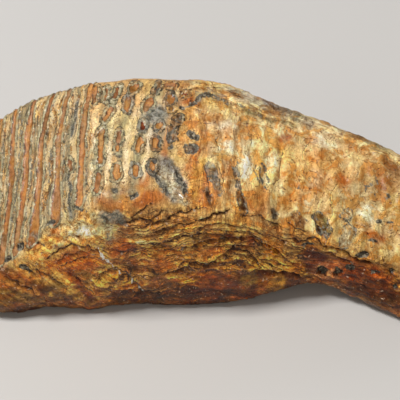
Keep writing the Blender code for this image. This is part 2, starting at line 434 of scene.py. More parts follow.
@dataclass(frozen=True)
class Net:
    """How the fine mesh is spread over the form: rings along it, and steps round it."""

    front_rings: int = 18
    worn_rings: int = 214
    coat_rings: int = 143
    rear_rings: int = 20
    worn_end: float = -20.0
    steps: tuple[int, ...] = (8, 8, 30, 38, 20, 21, 21, 16, 26, 24, 7, 7)  # from each rail to the next

    @property
    def rings(self) -> int:
        """Rings from pole to pole."""
        return self.front_rings + self.worn_rings + self.coat_rings + self.rear_rings

    @property
    def round(self) -> int:
        """Steps once round."""
        return sum(self.steps)

    @staticmethod
    def put_in_order(mesh: bmesh.types.BMesh) -> None:
        """Sorts the faces by their corners, because the ball's own order differs from run to run.

        Args:
            mesh: The mesh, whose faces are sorted.
        """
        mesh.verts.index_update()
        count = len(mesh.verts)

        def place(face: bmesh.types.BMFace) -> float:
            """Gives a number of its own to each face."""
            lowest, second, *_, highest = sorted(corner.index for corner in face.verts)
            return float((lowest * count + second) * count + highest)

        mesh.faces.sort(key=place)

    def make(self, form: Form) -> tuple[bmesh.types.BMesh, np.ndarray, np.ndarray, np.ndarray]:
        """Makes a ball and spreads it over the form.

        Args:
            form: The form to cover.

        Returns:
            The mesh, still a ball, the points that its vertices go to, each vertex's place in rails, and
            the vertices as a sheet with a row for each ring.
        """
        mesh = bmesh.new()
        bmesh.ops.create_uvsphere(mesh, u_segments=self.round, v_segments=self.rings, radius=1.0)
        self.put_in_order(mesh)
        unit = np.array([vertex.co for vertex in mesh.verts])
        polar = np.arctan2(np.hypot(unit[:, 0], unit[:, 1]), -unit[:, 2])
        ring = np.round(polar * self.rings / math.pi)
        step = np.round(np.arctan2(unit[:, 1], unit[:, 0]) % (2 * math.pi) * self.round / (2 * math.pi))
        marks = (0, self.front_rings, self.front_rings + self.worn_rings, self.rings - self.rear_rings)
        station = np.interp(ring, marks[1:], (form.stations[0], self.worn_end, form.stations[-1]))
        end = np.minimum(ring / self.front_rings, (self.rings - ring) / self.rear_rings)
        rail = np.interp(step % self.round, np.cumsum((0, *self.steps)), np.arange(len(self.steps) + 1))
        rail = rail % len(form.rails)
        sheet = np.zeros((self.rings - 1, self.round), int)
        inner = (ring > 0) & (ring < self.rings)
        sheet[ring[inner].astype(int) - 1, (step[inner] % self.round).astype(int)] = np.nonzero(inner)[0]
        return mesh, form.surface(station, np.clip(end, 0.0, 1.0), rail), rail, sheet


# ---- The surface -------------------------------------------------------------------------------------


class Skin:
    """The tooth's surface as arrays, with one value for each vertex."""

    near_edge: ClassVar[Pair] = (-0.1, 0.06)  # where the near wall turns into the crown
    far_edge: ClassVar[Pair] = (0.96, 1.1)  # where the crown turns into the far wall
    seen: ClassVar[Pair] = (0.02, 0.2)  # how squarely the show plane's view meets a place
    plain_grit: ClassVar[float] = 0.8
    plain_outline: ClassVar[float] = 0.3
    plain_glint: ClassVar[float] = 0.3

    def __init__(self, form: Form, net: Net) -> None:
        """Lays the plain surface.

        Args:
            form: The form to cover.
            net: How the mesh is spread over it.
        """
        self.mesh, self.points, self.rail, self.sheet = net.make(form)
        self.place_vertices()
        bmesh.ops.recalc_face_normals(self.mesh, faces=self.mesh.faces)
        self.mesh.normal_update()
        self.normals = np.array([vertex.normal for vertex in self.mesh.verts])
        self.place = form.across(self.rail)
        self.x = self.points[:, 0]
        self.z = self.points[:, 2]
        self.plate_x = self.x - form.lean(self.rail)
        self.up = self.points[:, 1] * math.sin(SHOW_TILT) + self.z * math.cos(SHOW_TILT)
        facing = self.normals[:, 2] * math.sin(SHOW_TILT) - self.normals[:, 1] * math.cos(SHOW_TILT)
        self.shown = blend(facing, *self.seen)
        self.hidden = OUT_OF_REACH * (1 - self.shown)
        # where rings and other marks are read on the show plane: a little uneven, so that edges are ragged
        self.ring_x = self.x + 0.7 * grain(self.points, 5.0, 42, 2)
        self.ring_up = self.up + 0.8 * grain(self.points, 5.0, 43, 2)
        self.mark_x = self.ring_x + 0.8 * grain(self.points, 6.0, 40, 2)
        self.mark_up = self.ring_up + 0.8 * grain(self.points, 6.0, 41, 2)
        # the parts of the tooth, 1 in each and 0 outside it
        low, high = self.far_edge
        self.near_wall = 1 - blend(self.place, *self.near_edge)
        self.far_wall = blend(self.place, *self.far_edge)
        self.crown = blend(self.place, *self.near_edge) * blend(-self.place, -high, -low)
        # what the pieces work in: relief, colours, distances from marks, and traits that the finish reads
        count = len(self.x)
        self.height = np.zeros(count)
        self.colour, self.core, self.rim = (np.zeros((count, 3)) for _ in range(3))
        self.core_out, self.rim_out = (np.full(count, FAR_AWAY) for _ in range(2))
        self.crack_at, self.crack_out = (np.full(count, FAR_AWAY) for _ in range(2))
        self.marks = np.full((len(Mark), count), UNMARKED)
        self.beds = np.zeros((count, len(NearWall.beddings)))
        self.fibre, self.speck, self.flaked, self.bedded = (np.zeros(count) for _ in range(4))
        self.grit = np.full(count, self.plain_grit)
        self.outline = np.full(count, self.plain_outline)
        self.glint = np.full(count, self.plain_glint)
        self.mottle = np.ones(count)

    def place_vertices(self) -> None:
        """Moves the mesh's vertices to the points."""
        for vertex, point in zip(self.mesh.verts, self.points):
            vertex.co = point

    def outside(self, oval: Oval) -> np.ndarray:
        """How far each vertex is outside an oval, negative inside it."""
        return oval.outside(self.mark_x, self.mark_up)

    def away(self, line: Line) -> tuple[np.ndarray, np.ndarray]:
        """Each vertex's distance from a line, and its side of it."""
        return line.away(self.mark_x, self.mark_up)

    def within(self, oval: Oval, soft: float) -> np.ndarray:
        """How much an oval covers each vertex, with its edge blurred by soft each way."""
        return blend(-self.outside(oval), -soft, soft) * self.shown

    def paint(self, tone: Tone, share: np.ndarray) -> None:
        """Lays a tone over the colour, where share is above 0."""
        share = np.clip(share, 0.0, 1.0)[:, None]
        self.colour = self.colour * (1 - share) + np.array(tone.linear) * share

    def tint(self, tint: Tint, share: np.ndarray) -> None:
        """Multiplies the colour by a tint, where share is above 0."""
        self.colour *= 1 - share[:, None] * (1 - np.array(tint))

    def mark(self, kind: Mark, inside: np.ndarray, where: np.ndarray | bool = True) -> None:
        """Adds a crisp mark.

        Args:
            kind: The kind of mark.
            inside: How far each vertex is inside it, in millimetres, negative outside.
            where: Which vertices it may reach.
        """
        self.marks[kind.value] = np.maximum(self.marks[kind.value], np.where(where, inside, UNMARKED))

    def blurred(self, values: np.ndarray, times: int) -> np.ndarray:
        """Evens values out over the surface.

        Args:
            values: A value for each vertex.
            times: How often each vertex is averaged with its neighbours.

        Returns:
            The evened values.
        """
        sheet = values[self.sheet]
        for _ in range(times):
            ends = np.pad(sheet, ((1, 1), (0, 0)), mode="edge")
            sides = np.roll(sheet, 1, axis=1) + np.roll(sheet, -1, axis=1)
            sheet = (2 * sheet + ends[:-2] + ends[2:] + sides) / 6
        evened = values.copy()
        evened[self.sheet] = sheet
        return evened


# ---- What is worked into it --------------------------------------------------------------------------


@dataclass
class WornFace:
    """The chewing surface: plates worn flat, and the rings of the plates behind them."""

    core_half: float = 1.5
    core_narrowing: float = 0.35  # towards the far side
    plate_enamel: float = 1.5
    plate_cement: float = 1.3
    plate_outline: float = 0.6
    plate_rim: Tone = Tone.SAGE
    ring_enamel: float = 2.0
    ring_cement: float = 0.6
    ring_outline: float = 0.75
    ridge: float = 0.55
    hollow: float = 0.5
    nick_depth: float = 0.6
    pitting_height: float = 0.3
    cement_depth: float = 0.6
    crown_width: float = 90.0
    wander: float = 0.7
    outlines: ClassVar[dict[Tone, float]] = {Tone.GREY: 0.85, Tone.SLATE: 0.95, Tone.BLACK: 1.0}
    plates: tuple[Plate, ...] = (
        Plate(-154, 0, 1.06, -6, 3, Tone.BRICK),
        Plate(-145, 0, 1.06, -6, 3, Tone.AMBER),
        Plate(-136, 0, 1.06, -6, 3, Tone.CLAY),
        Plate(-127, 0, 1.06, -6, 3, Tone.BRICK),
        Plate(-118.5, 0, 1.06, -6, 3, Tone.AMBER),
        Plate(-110, 0, 1.06, -6.2, 3.6, Tone.BRICK),
        Plate(-101.3, 0.01, 1.06, -6.2, 5.6, Tone.BRICK),
        Plate(-93, 0.02, 1.06, -4.4, 8.6, Tone.BRICK, 1),
        Plate(-82.4, 0.06, 1.06, -1, 8, Tone.CLAY, 1.5),
        Plate(-68.2, 0.08, 1.05, -1.6, 6.4, Tone.BRICK, 0.9),
    )
    rings: tuple[Ring, ...] = (
        Ring(-75.2, 20, 3.6, 1, 92, Tone.CLAY), Ring(-57.4, 31, 10.4, 1.5, 87, Tone.AMBER),
        Ring(-59, 9.6, 6, 1.6, 84, Tone.CLAY), Ring(-53.6, 49.8, 5, 1.2, 62, Tone.CLAY),
        Ring(-54.7, 61.5, 3.8, 0.7, 82, Tone.CLAY), Ring(-61.3, 61.7, 5.4, 1.1, 80, Tone.BRICK),
        Ring(-48.8, 62.4, 4, 1, 70, Tone.BRICK), Ring(-46.7, 36.8, 3.6, 1.3, 84, Tone.CLAY),
        Ring(-47.2, 29.6, 2.6, 1.3, 88, Tone.AMBER), Ring(-48, 16, 4.4, 1.7, 92, Tone.AMBER),
        Ring(-38.2, 65.6, 2.8, 1.9, 50, Tone.AMBER), Ring(-42, 55.8, 4.4, 1.5, 78, Tone.BRICK, Tone.GREY),
        Ring(-33, 43.2, 2.6, 0.9, 80, Tone.RUST, Tone.GREY), Ring(-35.2, 32.3, 4.2, 1.7, 78, Tone.AMBER),
        Ring(-37, 17.2, 3.4, 1.8, 92, Tone.AMBER, Tone.GREY), Ring(-30.4, 55, 4.2, 2.1, 62, Tone.BRICK),
        Ring(-23.6, 43.2, 2.4, 1.6, 30, Tone.AMBER, Tone.GREY),
        Ring(-25.6, 32.2, 3.2, 1.6, 84, Tone.BRICK, Tone.SLATE),
        Ring(-27.6, 19.2, 2.7, 1.5, 95, Tone.AMBER, Tone.SLATE),
        Ring(-25, 65.2, 3.4, 0.8, 50, Tone.SLATE, Tone.SLATE),
        Ring(-17.6, 67.4, 3.4, 1.2, 0, Tone.BRICK, Tone.TAN),
        Ring(-17, 58.8, 2.7, 2, 60, Tone.AMBER, Tone.SLATE),
        Ring(-16.6, 53, 1.3, 0.8, 20, Tone.STRAW, Tone.STRAW),
        Ring(-12.8, 46.8, 2.6, 1.2, 42, Tone.GREY, Tone.BLACK),
        Ring(-16.1, 38.4, 3.6, 1.5, 85, Tone.GREY, Tone.SLATE),
        Ring(-9.5, 62.4, 2, 0.9, -10, Tone.RUST, Tone.TAN),
    )

    def work(self, skin: Skin) -> None:
        """Works the plates and rings into the surface.

        Args:
            skin: The surface.
        """
        along = skin.x + self.wander * grain(skin.points, 16.0, 3) + 0.25 * grain(skin.points, 4.0, 4)
        beyond = np.full(len(skin.x), FAR_AWAY)
        least = np.full(len(skin.x), self.plate_cement)
        enamel = np.full(len(skin.x), self.plate_enamel)
        of_plates = (self.plate_enamel, self.plate_cement, self.plate_outline)
        marks = [
            (self.outside_plate(plate, skin, along), plate.core, self.plate_rim, of_plates)
            for plate in self.plates
        ]
        for ring in self.rings:
            outside = ring.outside(skin.ring_x, skin.ring_up) + skin.hidden
            outline = self.outlines.get(ring.rim, self.ring_outline)
            marks.append((outside, ring.core, ring.rim, (self.ring_enamel, self.ring_cement, outline)))
        for outside, core, rim, (thick, apart, outline) in marks:
            nearer = outside < skin.core_out
            beyond = np.where(nearer, skin.core_out, np.minimum(beyond, outside))
            skin.core_out = np.where(nearer, outside, skin.core_out)
            enamel[nearer] = thick
            least[nearer] = apart
            skin.outline[nearer] = outline
            skin.core[nearer] = core.linear
            skin.rim[nearer] = rim.linear
        skin.rim_out = np.maximum(skin.core_out - enamel, 0.5 * (least - beyond + skin.core_out))
        skin.rim_out += 0.5 * grain(skin.points, 4.5, 9)
        self.relief(skin)

    def outside_plate(self, plate: Plate, skin: Skin, along: np.ndarray) -> np.ndarray:
        """Measures how far places are outside a plate's core.

        Args:
            plate: The plate.
            skin: The surface.
            along: x of each place, a little uneven.

        Returns:
            Millimetres outside it, negative inside.
        """
        across = np.clip(skin.place, -0.1, 1.1)
        foot = plate.foot * np.clip(1 - 2 * across, 0.0, 1.2) ** 1.3
        head = plate.head * np.clip(2 * across - 1, 0.0, 1.2) ** 1.5
        past = np.maximum(np.maximum(plate.near - skin.place, skin.place - plate.far), 0.0)
        half = self.core_half + plate.flare * (1 - blend(skin.place, 0.05, 0.4))
        half = half - self.core_narrowing * blend(skin.place, 0.5, 0.9)
        half = half + 0.3 * grain(skin.points, (40.0, 9.0, 9.0), 7)
        return np.hypot(along - plate.x - foot - head, self.crown_width * past) - half

    def relief(self, skin: Skin) -> None:
        """Raises the enamel and sinks what is softer.

        Args:
            skin: The surface.
        """
        enamel = blend(skin.core_out, -0.3, 0.4) * blend(-skin.rim_out, -0.3, 0.4)
        worn = skin.crown * blend(-skin.x, 5.0, 20.0)
        cement = worn * blend(skin.rim_out, -0.1, 0.5)
        plates = blend(-skin.x, 56.0, 66.0)
        skin.height += self.ridge * enamel - self.hollow * blend(-skin.core_out, 0.0, 0.9)
        nicks = grain(skin.points, (3.0, 1.1, 1.1), 6, 2)
        skin.height -= self.nick_depth * enamel * blend(nicks, 0.35, 0.9)
        pitting = grain(skin.points, (1.8, 2.6, 2.6), 5, 2)
        pitted = cement * (0.25 + 0.75 * plates)
        skin.height += pitted * (self.pitting_height * pitting - self.cement_depth * blend(pitting, 0.3, 0.9))
        skin.mark(Mark.DARK, 2.2 * (pitting - 0.95), pitted > 0.5)
        skin.fibre += worn * (0.3 + 0.5 * plates)
        skin.speck += worn * (0.12 + 0.88 * plates)
        skin.grit -= 0.45 * worn * (1 - plates)
        skin.mottle -= 0.75 * worn * (1 - plates)


@dataclass(frozen=True)
class Bedding:
    """One set of layers in a weathered wall: each has a proud edge, lightened as painted highlight, with a
    crease under it, darkened as painted shade.
    """

    pitch: float
    tall: float
    length: float
    seed: int
    tones: ClassVar[tuple[Tone, ...]] = (Tone.CLAY, Tone.RUST, Tone.UMBER, Tone.TAN)

    def work(self, skin: Skin, level: np.ndarray, share: np.ndarray) -> np.ndarray:
        """Works the layers in.

        Args:
            skin: The surface.
            level: Height above the middle layer.
            share: How strongly the layers show.

        Returns:
            Each vertex's place in the layers, counted in layers.
        """
        along = skin.x / self.length
        flat = np.zeros(len(level))
        bent = grain(np.column_stack((along, level / (2.4 * self.pitch), flat)), 1.0, self.seed, 2)
        turn = level / self.pitch + 0.9 * bent
        layer = np.floor(turn)
        part = turn - layer
        patchy = grain(np.column_stack((along, level / self.pitch, flat)), 1.0, self.seed + 1)
        share = share * blend(patchy, -0.45, 0.35)
        skin.height += share * self.tall * (blend(part, 0.0, 0.16) * (1 - part) ** 0.8 - 0.4)
        lit = blend(part, 0.06, 0.16) * blend(-part, -0.5, -0.2)
        crease = blend(part, 0.86, 1.0) + blend(-part, -0.1, 0.0)
        pick = np.sin(layer * 12.9898 + self.seed) * 43758.5453 % 1.0  # scattered from 0 to 1, one a layer
        for i, tone in enumerate(self.tones):
            chosen = (pick * len(self.tones) >= i) & (pick * len(self.tones) < i + 1)
            skin.paint(tone, 0.4 * share * chosen)
        # painted highlight: straw on each proud edge; painted shade: umber in the crease under it
        skin.paint(Tone.STRAW, 0.4 * share * lit)
        skin.paint(Tone.UMBER, 0.7 * share * crease)
        skin.bedded = np.maximum(skin.bedded, share)
        return turn


@dataclass
class NearWall:
    """The hollow side, weathered into ledges, and the cracks and pits of all that the show plane shows."""

    arch_x: tuple[float, ...] = (-116, -98, -81, -64, -46, -23, 0, 17, 29, 46, 70, 93, 116)
    arch_up: tuple[float, ...] = (29, 16, 5, -3, -8, -5, -1, 1, -1, -6, -13, -18, -26)
    beddings: tuple[Bedding, ...] = (
        Bedding(8.5, 1.8, 46.0, 22),
        Bedding(4.2, 1.1, 26.0, 25),
        Bedding(2.3, 0.6, 15.0, 28),
    )
    smooth: Oval = Oval(30.0, -48.0, 30.0, 6.5, 4)  # where no layers show
    crumbs: Oval = Oval(-78.0, -19.0, 27.0, 6.5, 22)  # where the cement crumbles
    patch_edge: float = 2.0
    crumb_height: float = 0.9
    crumb_depth: float = 0.3
    lip_reach: float = 7.0
    pit_rim: float = 0.5
    cracks: tuple[Crack, ...] = (
        Crack(((-43, -12), (-36, -11), (-29, -9.6), (-21.5, -5.5)), 0.8, 1.4, 0.8),
        Crack(((-39, -8.5), (-33, -5.5), (-27, -1.5)), 0.7, 1.2, 0.4),
        Crack(((-27, -13.3), (-18, -9.6), (-11, -7), (-4, -5.7), (2, -3.8)), 0.8, 1.4, 0.8),
        Crack(((-26, -18), (-20, -17), (-12, -14.4), (-3, -11.6), (5, -9.5), (16, -6.5)), 0.8, 1.2, 0.8),
        Crack(
            ((-2.5, -25), (5, -22.5), (15, -21.4), (22, -21), (31, -22), (38, -26), (46, -29)),
            1.2, 2.7, 2.2,
        ),
        Crack(((-6, -37), (4.5, -36.6), (11, -33), (16, -29.2), (20, -26.4)), 1.3, 2.6, 1.6),
        Crack(((0, -11.6), (7, -8.7), (15, -6.7)), 0.9, 1.2, 0.6),
        Crack(((28, -17.7), (34, -21), (40, -25), (46, -29)), 1, 1.6, 1),
        Crack(((13, -31.7), (19, -28.4), (24, -28.4), (30, -32.5), (35, -37.5)), 1, 1.6, 0.8),
        Crack(((31, -40.4), (41, -41), (48, -42.3), (58, -43.2)), 1.6, 2.2, 3),
        Crack(((-61, -46), (-57, -43), (-52.5, -40)), 0.7, 1, 0.3),
        Crack(((-50, -39.5), (-44, -43), (-40.5, -46), (-36.5, -50), (-34, -54)), 0.8, 1.4, 0.4),
        Crack(((-89, -33.5), (-82, -29), (-74, -25.6), (-65, -26.4), (-59, -29)), 0.7, 1, 0.8),
        Crack(((-82, -35.5), (-76, -32.5), (-69, -30.5), (-62, -28)), 0.7, 0.9, 0.6),
        Crack(((-80, -38.5), (-73, -36), (-66, -33.5)), 0.6, 0.8, 0.4),
        Crack(((-30, -41), (-24, -42.5), (-15, -41), (-6, -38)), 0.7, 1, 0.5),
        Crack(((-47, -53), (-36, -54.5), (-24, -53.5)), 0.8, 1, 0.6),
        Crack(((52, -12.5), (56, -16), (61, -18)), 0.7, 1, 0.4),
        Crack(((65.5, -9), (67.5, -13), (70, -17), (72, -20.6)), 0.9, 1.8, 0.5),
        Crack(((73.5, -12), (73.6, -16), (72.3, -20.2)), 0.6, 1.2, 0.3),
        Crack(((73, -25.5), (79, -27), (86, -30.3), (93.5, -34.6), (99, -36)), 1.2, 2.4, 2),
        Crack(((48.4, 28), (47.8, 21), (46.4, 14.5), (43, 9.4), (39.5, 6.8)), 0.1, 0.3, 0.2),
        Crack(((33.2, 19.5), (32.6, 15.5), (35, 10.5), (36.8, 7)), 0.1, 0.4, 0.2),
        Crack(((1.5, 21), (4.5, 13), (5.2, 6), (5.6, -1)), 0.4, 0.6, 0.3),
        Crack(((11, 18.5), (12.5, 12), (14, 4)), 0.2, 0.4, 0.2),
        Crack(((20, 17), (22.5, 8), (25.5, -4)), 0.3, 0.5, 0.2),
        Crack(((66, 34), (61, 30), (60, 24)), 0.1, 0.4, 0.2),
        Crack(((80, 9), (76, 3), (77, -6), (74, -14)), 0.1, 0.4, 0.2),
        Crack(((33, 44), (28, 38), (29, 31)), 0.1, 0.4, 0.2),
        Crack(((11, 40), (9, 33), (12, 27)), 0.1, 0.3, 0.2),
        Crack(((25, -9), (33, -8.5), (40, -13), (47, -15)), 0.7, 1, 0.6),
        Crack(((-2, -16.5), (8, -16), (18, -16.5), (26, -17.5)), 0.6, 1, 0.5),
        Crack(((-1, -19), (8, -18.5), (18, -18.6)), 0.6, 0.9, 0.4),
        Crack(((54, -22), (60, -24), (66, -22), (73, -25.5)), 0.7, 1.2, 0.6),
        Crack(((74, -29), (82, -32), (90, -37)), 0.6, 1, 0.5),
        Crack(((-110, -47), (-98, -53), (-88, -59)), 0.7, 0.9, 0.5),
        Crack(((-78, -43), (-68, -49), (-60, -55)), 0.7, 0.9, 0.5),
        Crack(((-100, -38), (-90, -44), (-78, -52)), 0.6, 0.8, 0.4),
        Crack(((-22, -24), (-12, -21), (-4, -19.5)), 0.6, 0.9, 0.5),
        Crack(((-34, -30), (-24, -27), (-16, -28.5), (-8, -27)), 0.7, 1, 0.5),
        Crack(((8, -26.5), (16, -25), (24, -25.5), (32, -27.5)), 0.6, 1, 0.5),
    )
    pits: tuple[Pit, ...] = (
        Pit(-102, -40.5, 4.4, 1.6, -33, 1.8), Pit(-112.5, -34.5, 2.6, 1.4, 10, 1.2),
        Pit(-104.5, -27, 2.2, 1.8, 30, 1.4), Pit(-87, -13, 2.4, 1.1, 0, 1.2),
        Pit(-70, -4.8, 2.6, 0.9, -20, 1.2), Pit(-49, 5.4, 2, 1.1, 90, 1.2),
        Pit(-38, 2.6, 2.2, 1.2, 20, 1.2), Pit(72, -41.2, 2.9, 2.6, 0, 3.6),
        Pit(80.6, -41.8, 2.3, 2.2, 0, 3), Pit(88, -39.4, 1.9, 1.5, 0, 2),
        Pit(95, -31.2, 4.6, 1.6, -8, 2.2), Pit(101.5, -23.3, 3, 0.8, 0, 1.4),
        Pit(112, -41.4, 1.5, 1.4, 0, 2), Pit(102.5, -42.4, 3.4, 0.9, -10, 1),
        Pit(114.5, -52, 1.8, 1.6, 0, 2), Pit(63, -26.2, 3, 1.1, 10, 1.2),
        Pit(111, -13.6, 2.6, 0.6, -14, 1), Pit(104, -12.4, 2, 0.8, 0, 0.8),
        Pit(-10.6, 54.3, 1.9, 1.7, 0, 1.4), Pit(-4.6, 37.6, 4, 1.4, -32, 1.2),
        Pit(-16.8, 30.7, 1.9, 1.3, 0, 1), Pit(-25.6, 40.6, 1.6, 0.9, 0, 1),
        Pit(-9.8, 11, 3.4, 0.9, -62, 1.2),
    )

    def layer(self, skin: Skin) -> np.ndarray:
        """Height above the middle layer: places with the same value are on one layer."""
        return skin.up - spline(skin.x, self.arch_x, self.arch_up) + 1.5 * grain(skin.points, 13.0, 21, 2)

    def work(self, skin: Skin) -> None:
        """Works the layers into the near wall, and opens the cracks and pits.

        Args:
            skin: The surface.
        """
        level = self.layer(skin)
        calm = 1 - blend(-skin.outside(self.smooth), -self.patch_edge, self.patch_edge)
        wall = skin.near_wall * calm * blend(skin.z, 0.0, 14.0)
        wall = wall * np.maximum(blend(skin.x, -66.0, -50.0), blend(-skin.place, 0.0, 0.09))
        wall = wall * (0.3 + 0.7 * blend(skin.x, -84.0, -40.0)) * (1 - 0.5 * blend(skin.x, 60.0, 76.0))
        crumbs = skin.within(self.crumbs, self.patch_edge)
        for i, bedding in enumerate(self.beddings):
            skin.beds[:, i] = bedding.work(skin, level, wall * (1 - crumbs))
        skin.fibre += skin.near_wall * (0.4 + 0.3 * blend(skin.x, -70.0, -30.0)) * (0.6 + 0.4 * calm)
        skin.grit -= 0.1 * skin.near_wall
        skin.glint += 0.6 * skin.near_wall
        crumbly = grain(skin.points, 3.2, 24, 2)
        skin.height += crumbs * (self.crumb_height * crumbly - self.crumb_depth)
        skin.mark(Mark.DARK, 1.5 * (-crumbly - 0.95), crumbs > 0.5)
        skin.paint(Tone.CREAM, 0.5 * crumbs * blend(crumbly, 0.0, 0.6))
        skin.fibre -= 0.7 * crumbs
        skin.grit += 0.3 * crumbs
        skin.speck *= 1 - crumbs
        for crack in self.cracks:
            self.open_crack(skin, crack)
        for pit in self.pits:
            inside = -skin.outside(pit) - skin.hidden
            skin.height -= pit.depth * blend(inside, -0.8, 0.8)
            rim = blend(np.array(pit.depth), 2.4, 3.0) * np.exp(-((inside + 1.3) ** 2))
            skin.paint(Tone.PINK, 0.9 * rim)
            skin.height += self.pit_rim * rim
            skin.mark(Mark.DARK, 2.2 * inside + 0.3)

    def open_crack(self, skin: Skin, crack: Crack) -> None:
        """Opens a crack, with its lip.

        Args:
            skin: The surface.
            crack: The crack.
        """
        away, side = skin.away(crack)
        groove = np.exp(-((away / crack.width) ** 2)) * skin.shown
        lip = (side > 0) * blend(away, 0.0, crack.width) * np.exp(-away / self.lip_reach) * skin.shown
        skin.height += crack.lip * lip - crack.depth * groove
        # painted highlight: the lip in straw; painted shade: the groove in umber. The crisp dark mark along
        # the crack is its own dark line and painted shade together
        skin.paint(Tone.STRAW, 0.5 * crack.lip * lip)
        skin.paint(Tone.UMBER, 0.7 * groove)
        skin.mark(Mark.DARK, crack.depth * 0.25 - 0.4 - away - skin.hidden)
        out = away + skin.hidden
        nearer = out < skin.crack_out
        skin.crack_at = np.where(nearer, out * side * 2.0 / (1.0 + crack.width), skin.crack_at)
        skin.crack_out = np.where(nearer, out, skin.crack_out)


@dataclass
class RearCoat:
    """The unworn rear: plates still under their coat of cement, and the flaking skin along its crest."""

    rib_pitch: float = 9.0
    rib_height: float = 0.4
    skin_edge: Line = Line(
        (
            (-13, 64), (0, 61), (13, 56.5), (27, 51.5), (36, 47.5), (49, 44.5),
            (64, 41.8), (81, 35), (99, 29), (116, 20),
        )
    )
    skin_lift: float = 0.8
    fibre_height: float = 0.3
    worn_fibre: float = 0.15  # how much lower the fibres are at the rear
    bump_height: float = 0.35
    flake: float = 0.25
    patch_rise: float = 0.5
    patch_height: float = 0.9
    patch_edge: float = 0.8
    rough_patch: Oval = Oval(-17.4, 11.6, 15.5, 5.4, -57)

    def work(self, skin: Skin) -> None:
        """Works the coat.

        Args:
            skin: The surface.
        """
        rear = skin.crown * blend(skin.x, -16.0, 2.0)
        beat = skin.plate_x * 2 * math.pi / self.rib_pitch + 2.5 * grain(skin.points, 30.0, 31)
        below_crest = 1 - blend(skin.place, 0.55, 0.8)
        skin.height += rear * self.rib_height * np.cos(beat) * blend(skin.x, -10.0, 5.0) * below_crest
        fibres = grain(np.column_stack((skin.plate_x / 1.8, skin.up / 7.0, skin.z / 7.0)), 1.0, 32, 2)
        skin.height += rear * (self.fibre_height - self.worn_fibre * blend(skin.x, 30.0, 60.0)) * fibres
        bumps = grain(skin.points, 6.0, 33, 3)
        flakes = blend(grain(skin.points, 9.0, 35, 3), -0.08, 0.08)
        skin.height += rear * (self.bump_height * bumps + self.flake * flakes)
        away, side = skin.away(self.skin_edge)
        sheet = blend(away * side, -0.3, 0.8) * rear * blend(skin.x, -14.0, -8.0)
        skin.height += self.skin_lift * sheet
        skin.flaked = sheet
        skin.paint(Tone.CREAM, 0.6 * sheet)
        rough = skin.within(self.rough_patch, self.patch_edge)
        speckle = grain(skin.points, 2.0, 34, 2)
        skin.height += rough * (self.patch_rise + self.patch_height * speckle)
        skin.mark(Mark.DARK, 1.6 * (speckle - 0.75), rough > 0.5)
        skin.fibre += rear * (0.5 - 0.25 * blend(skin.x, 20.0, 60.0)) + 0.4 * sheet
        skin.grit -= 0.45 * rear


@dataclass
class FarWall:
    """The bulging side: the plates show as ribs under their cement."""

    rib_pitch: float = 9.0
    rib_height: float = 1.0
    rib_roughness: float = 0.3
    fibre_height: float = 0.3
    bump_height: float = 0.5
    crest_x: Pair = (-34.0, -14.0)  # behind it, the ribs stop below the crest

    def work(self, skin: Skin) -> None:
        """Works the ribs into the far wall.

        Args:
            skin: The surface.
        """
        wall = blend(skin.place, 1.05, 1.25) * blend(skin.z, 8.0, 30.0) * (1 - skin.near_wall)
        wall = wall * (1 - blend(skin.x, *self.crest_x) * (1 - blend(skin.place, 1.35, 1.75)))
        beat = skin.plate_x * 2 * math.pi / self.rib_pitch + 1.5 * grain(skin.points, 25.0, 8)
        ribs = np.cos(beat) + self.rib_roughness * grain(skin.points, (3.0, 6.0, 8.0), 52, 2)
        skin.height += wall * self.rib_height * ribs
        # painted shade: umber in the furrows between the ribs; painted highlight: straw on the ribs' tops
        furrow = blend(-ribs, 0.4, 1.0) * wall
        skin.paint(Tone.UMBER, 0.5 * furrow)
        skin.paint(Tone.STRAW, 0.35 * wall * blend(ribs, 0.5, 1.2))
        fibres = grain(np.column_stack((skin.plate_x / 1.3, skin.z / 12.0, skin.z * 0)), 1.0, 51, 2)
        bumps = grain(skin.points, 5.0, 53, 3)
        skin.height += skin.far_wall * (self.fibre_height * fibres + self.bump_height * bumps)
        spots = grain(skin.points, (3.0, 4.0, 5.0), 54, 2)
        skin.mark(Mark.DARK, 1.8 * (spots - 1.0), skin.shown < 0.5)
        skin.fibre += 0.7 * skin.far_wall


@dataclass
class Lumps:
    """The unevenness of the whole tooth, coarse to fine."""

    sizes: tuple[Pair, ...] = ((32.0, 1.5), (12.0, 0.8), (5.0, 0.4), (2.2, 0.2))
    crown_share: float = 0.5

    def work(self, skin: Skin) -> None:
        """Adds the lumps.

        Args:
            skin: The surface.
        """
        height = sum(tall * grain(skin.points, size, seed) for seed, (size, tall) in enumerate(self.sizes))
        skin.height += height * (1 + (self.crown_share - 1) * skin.crown)


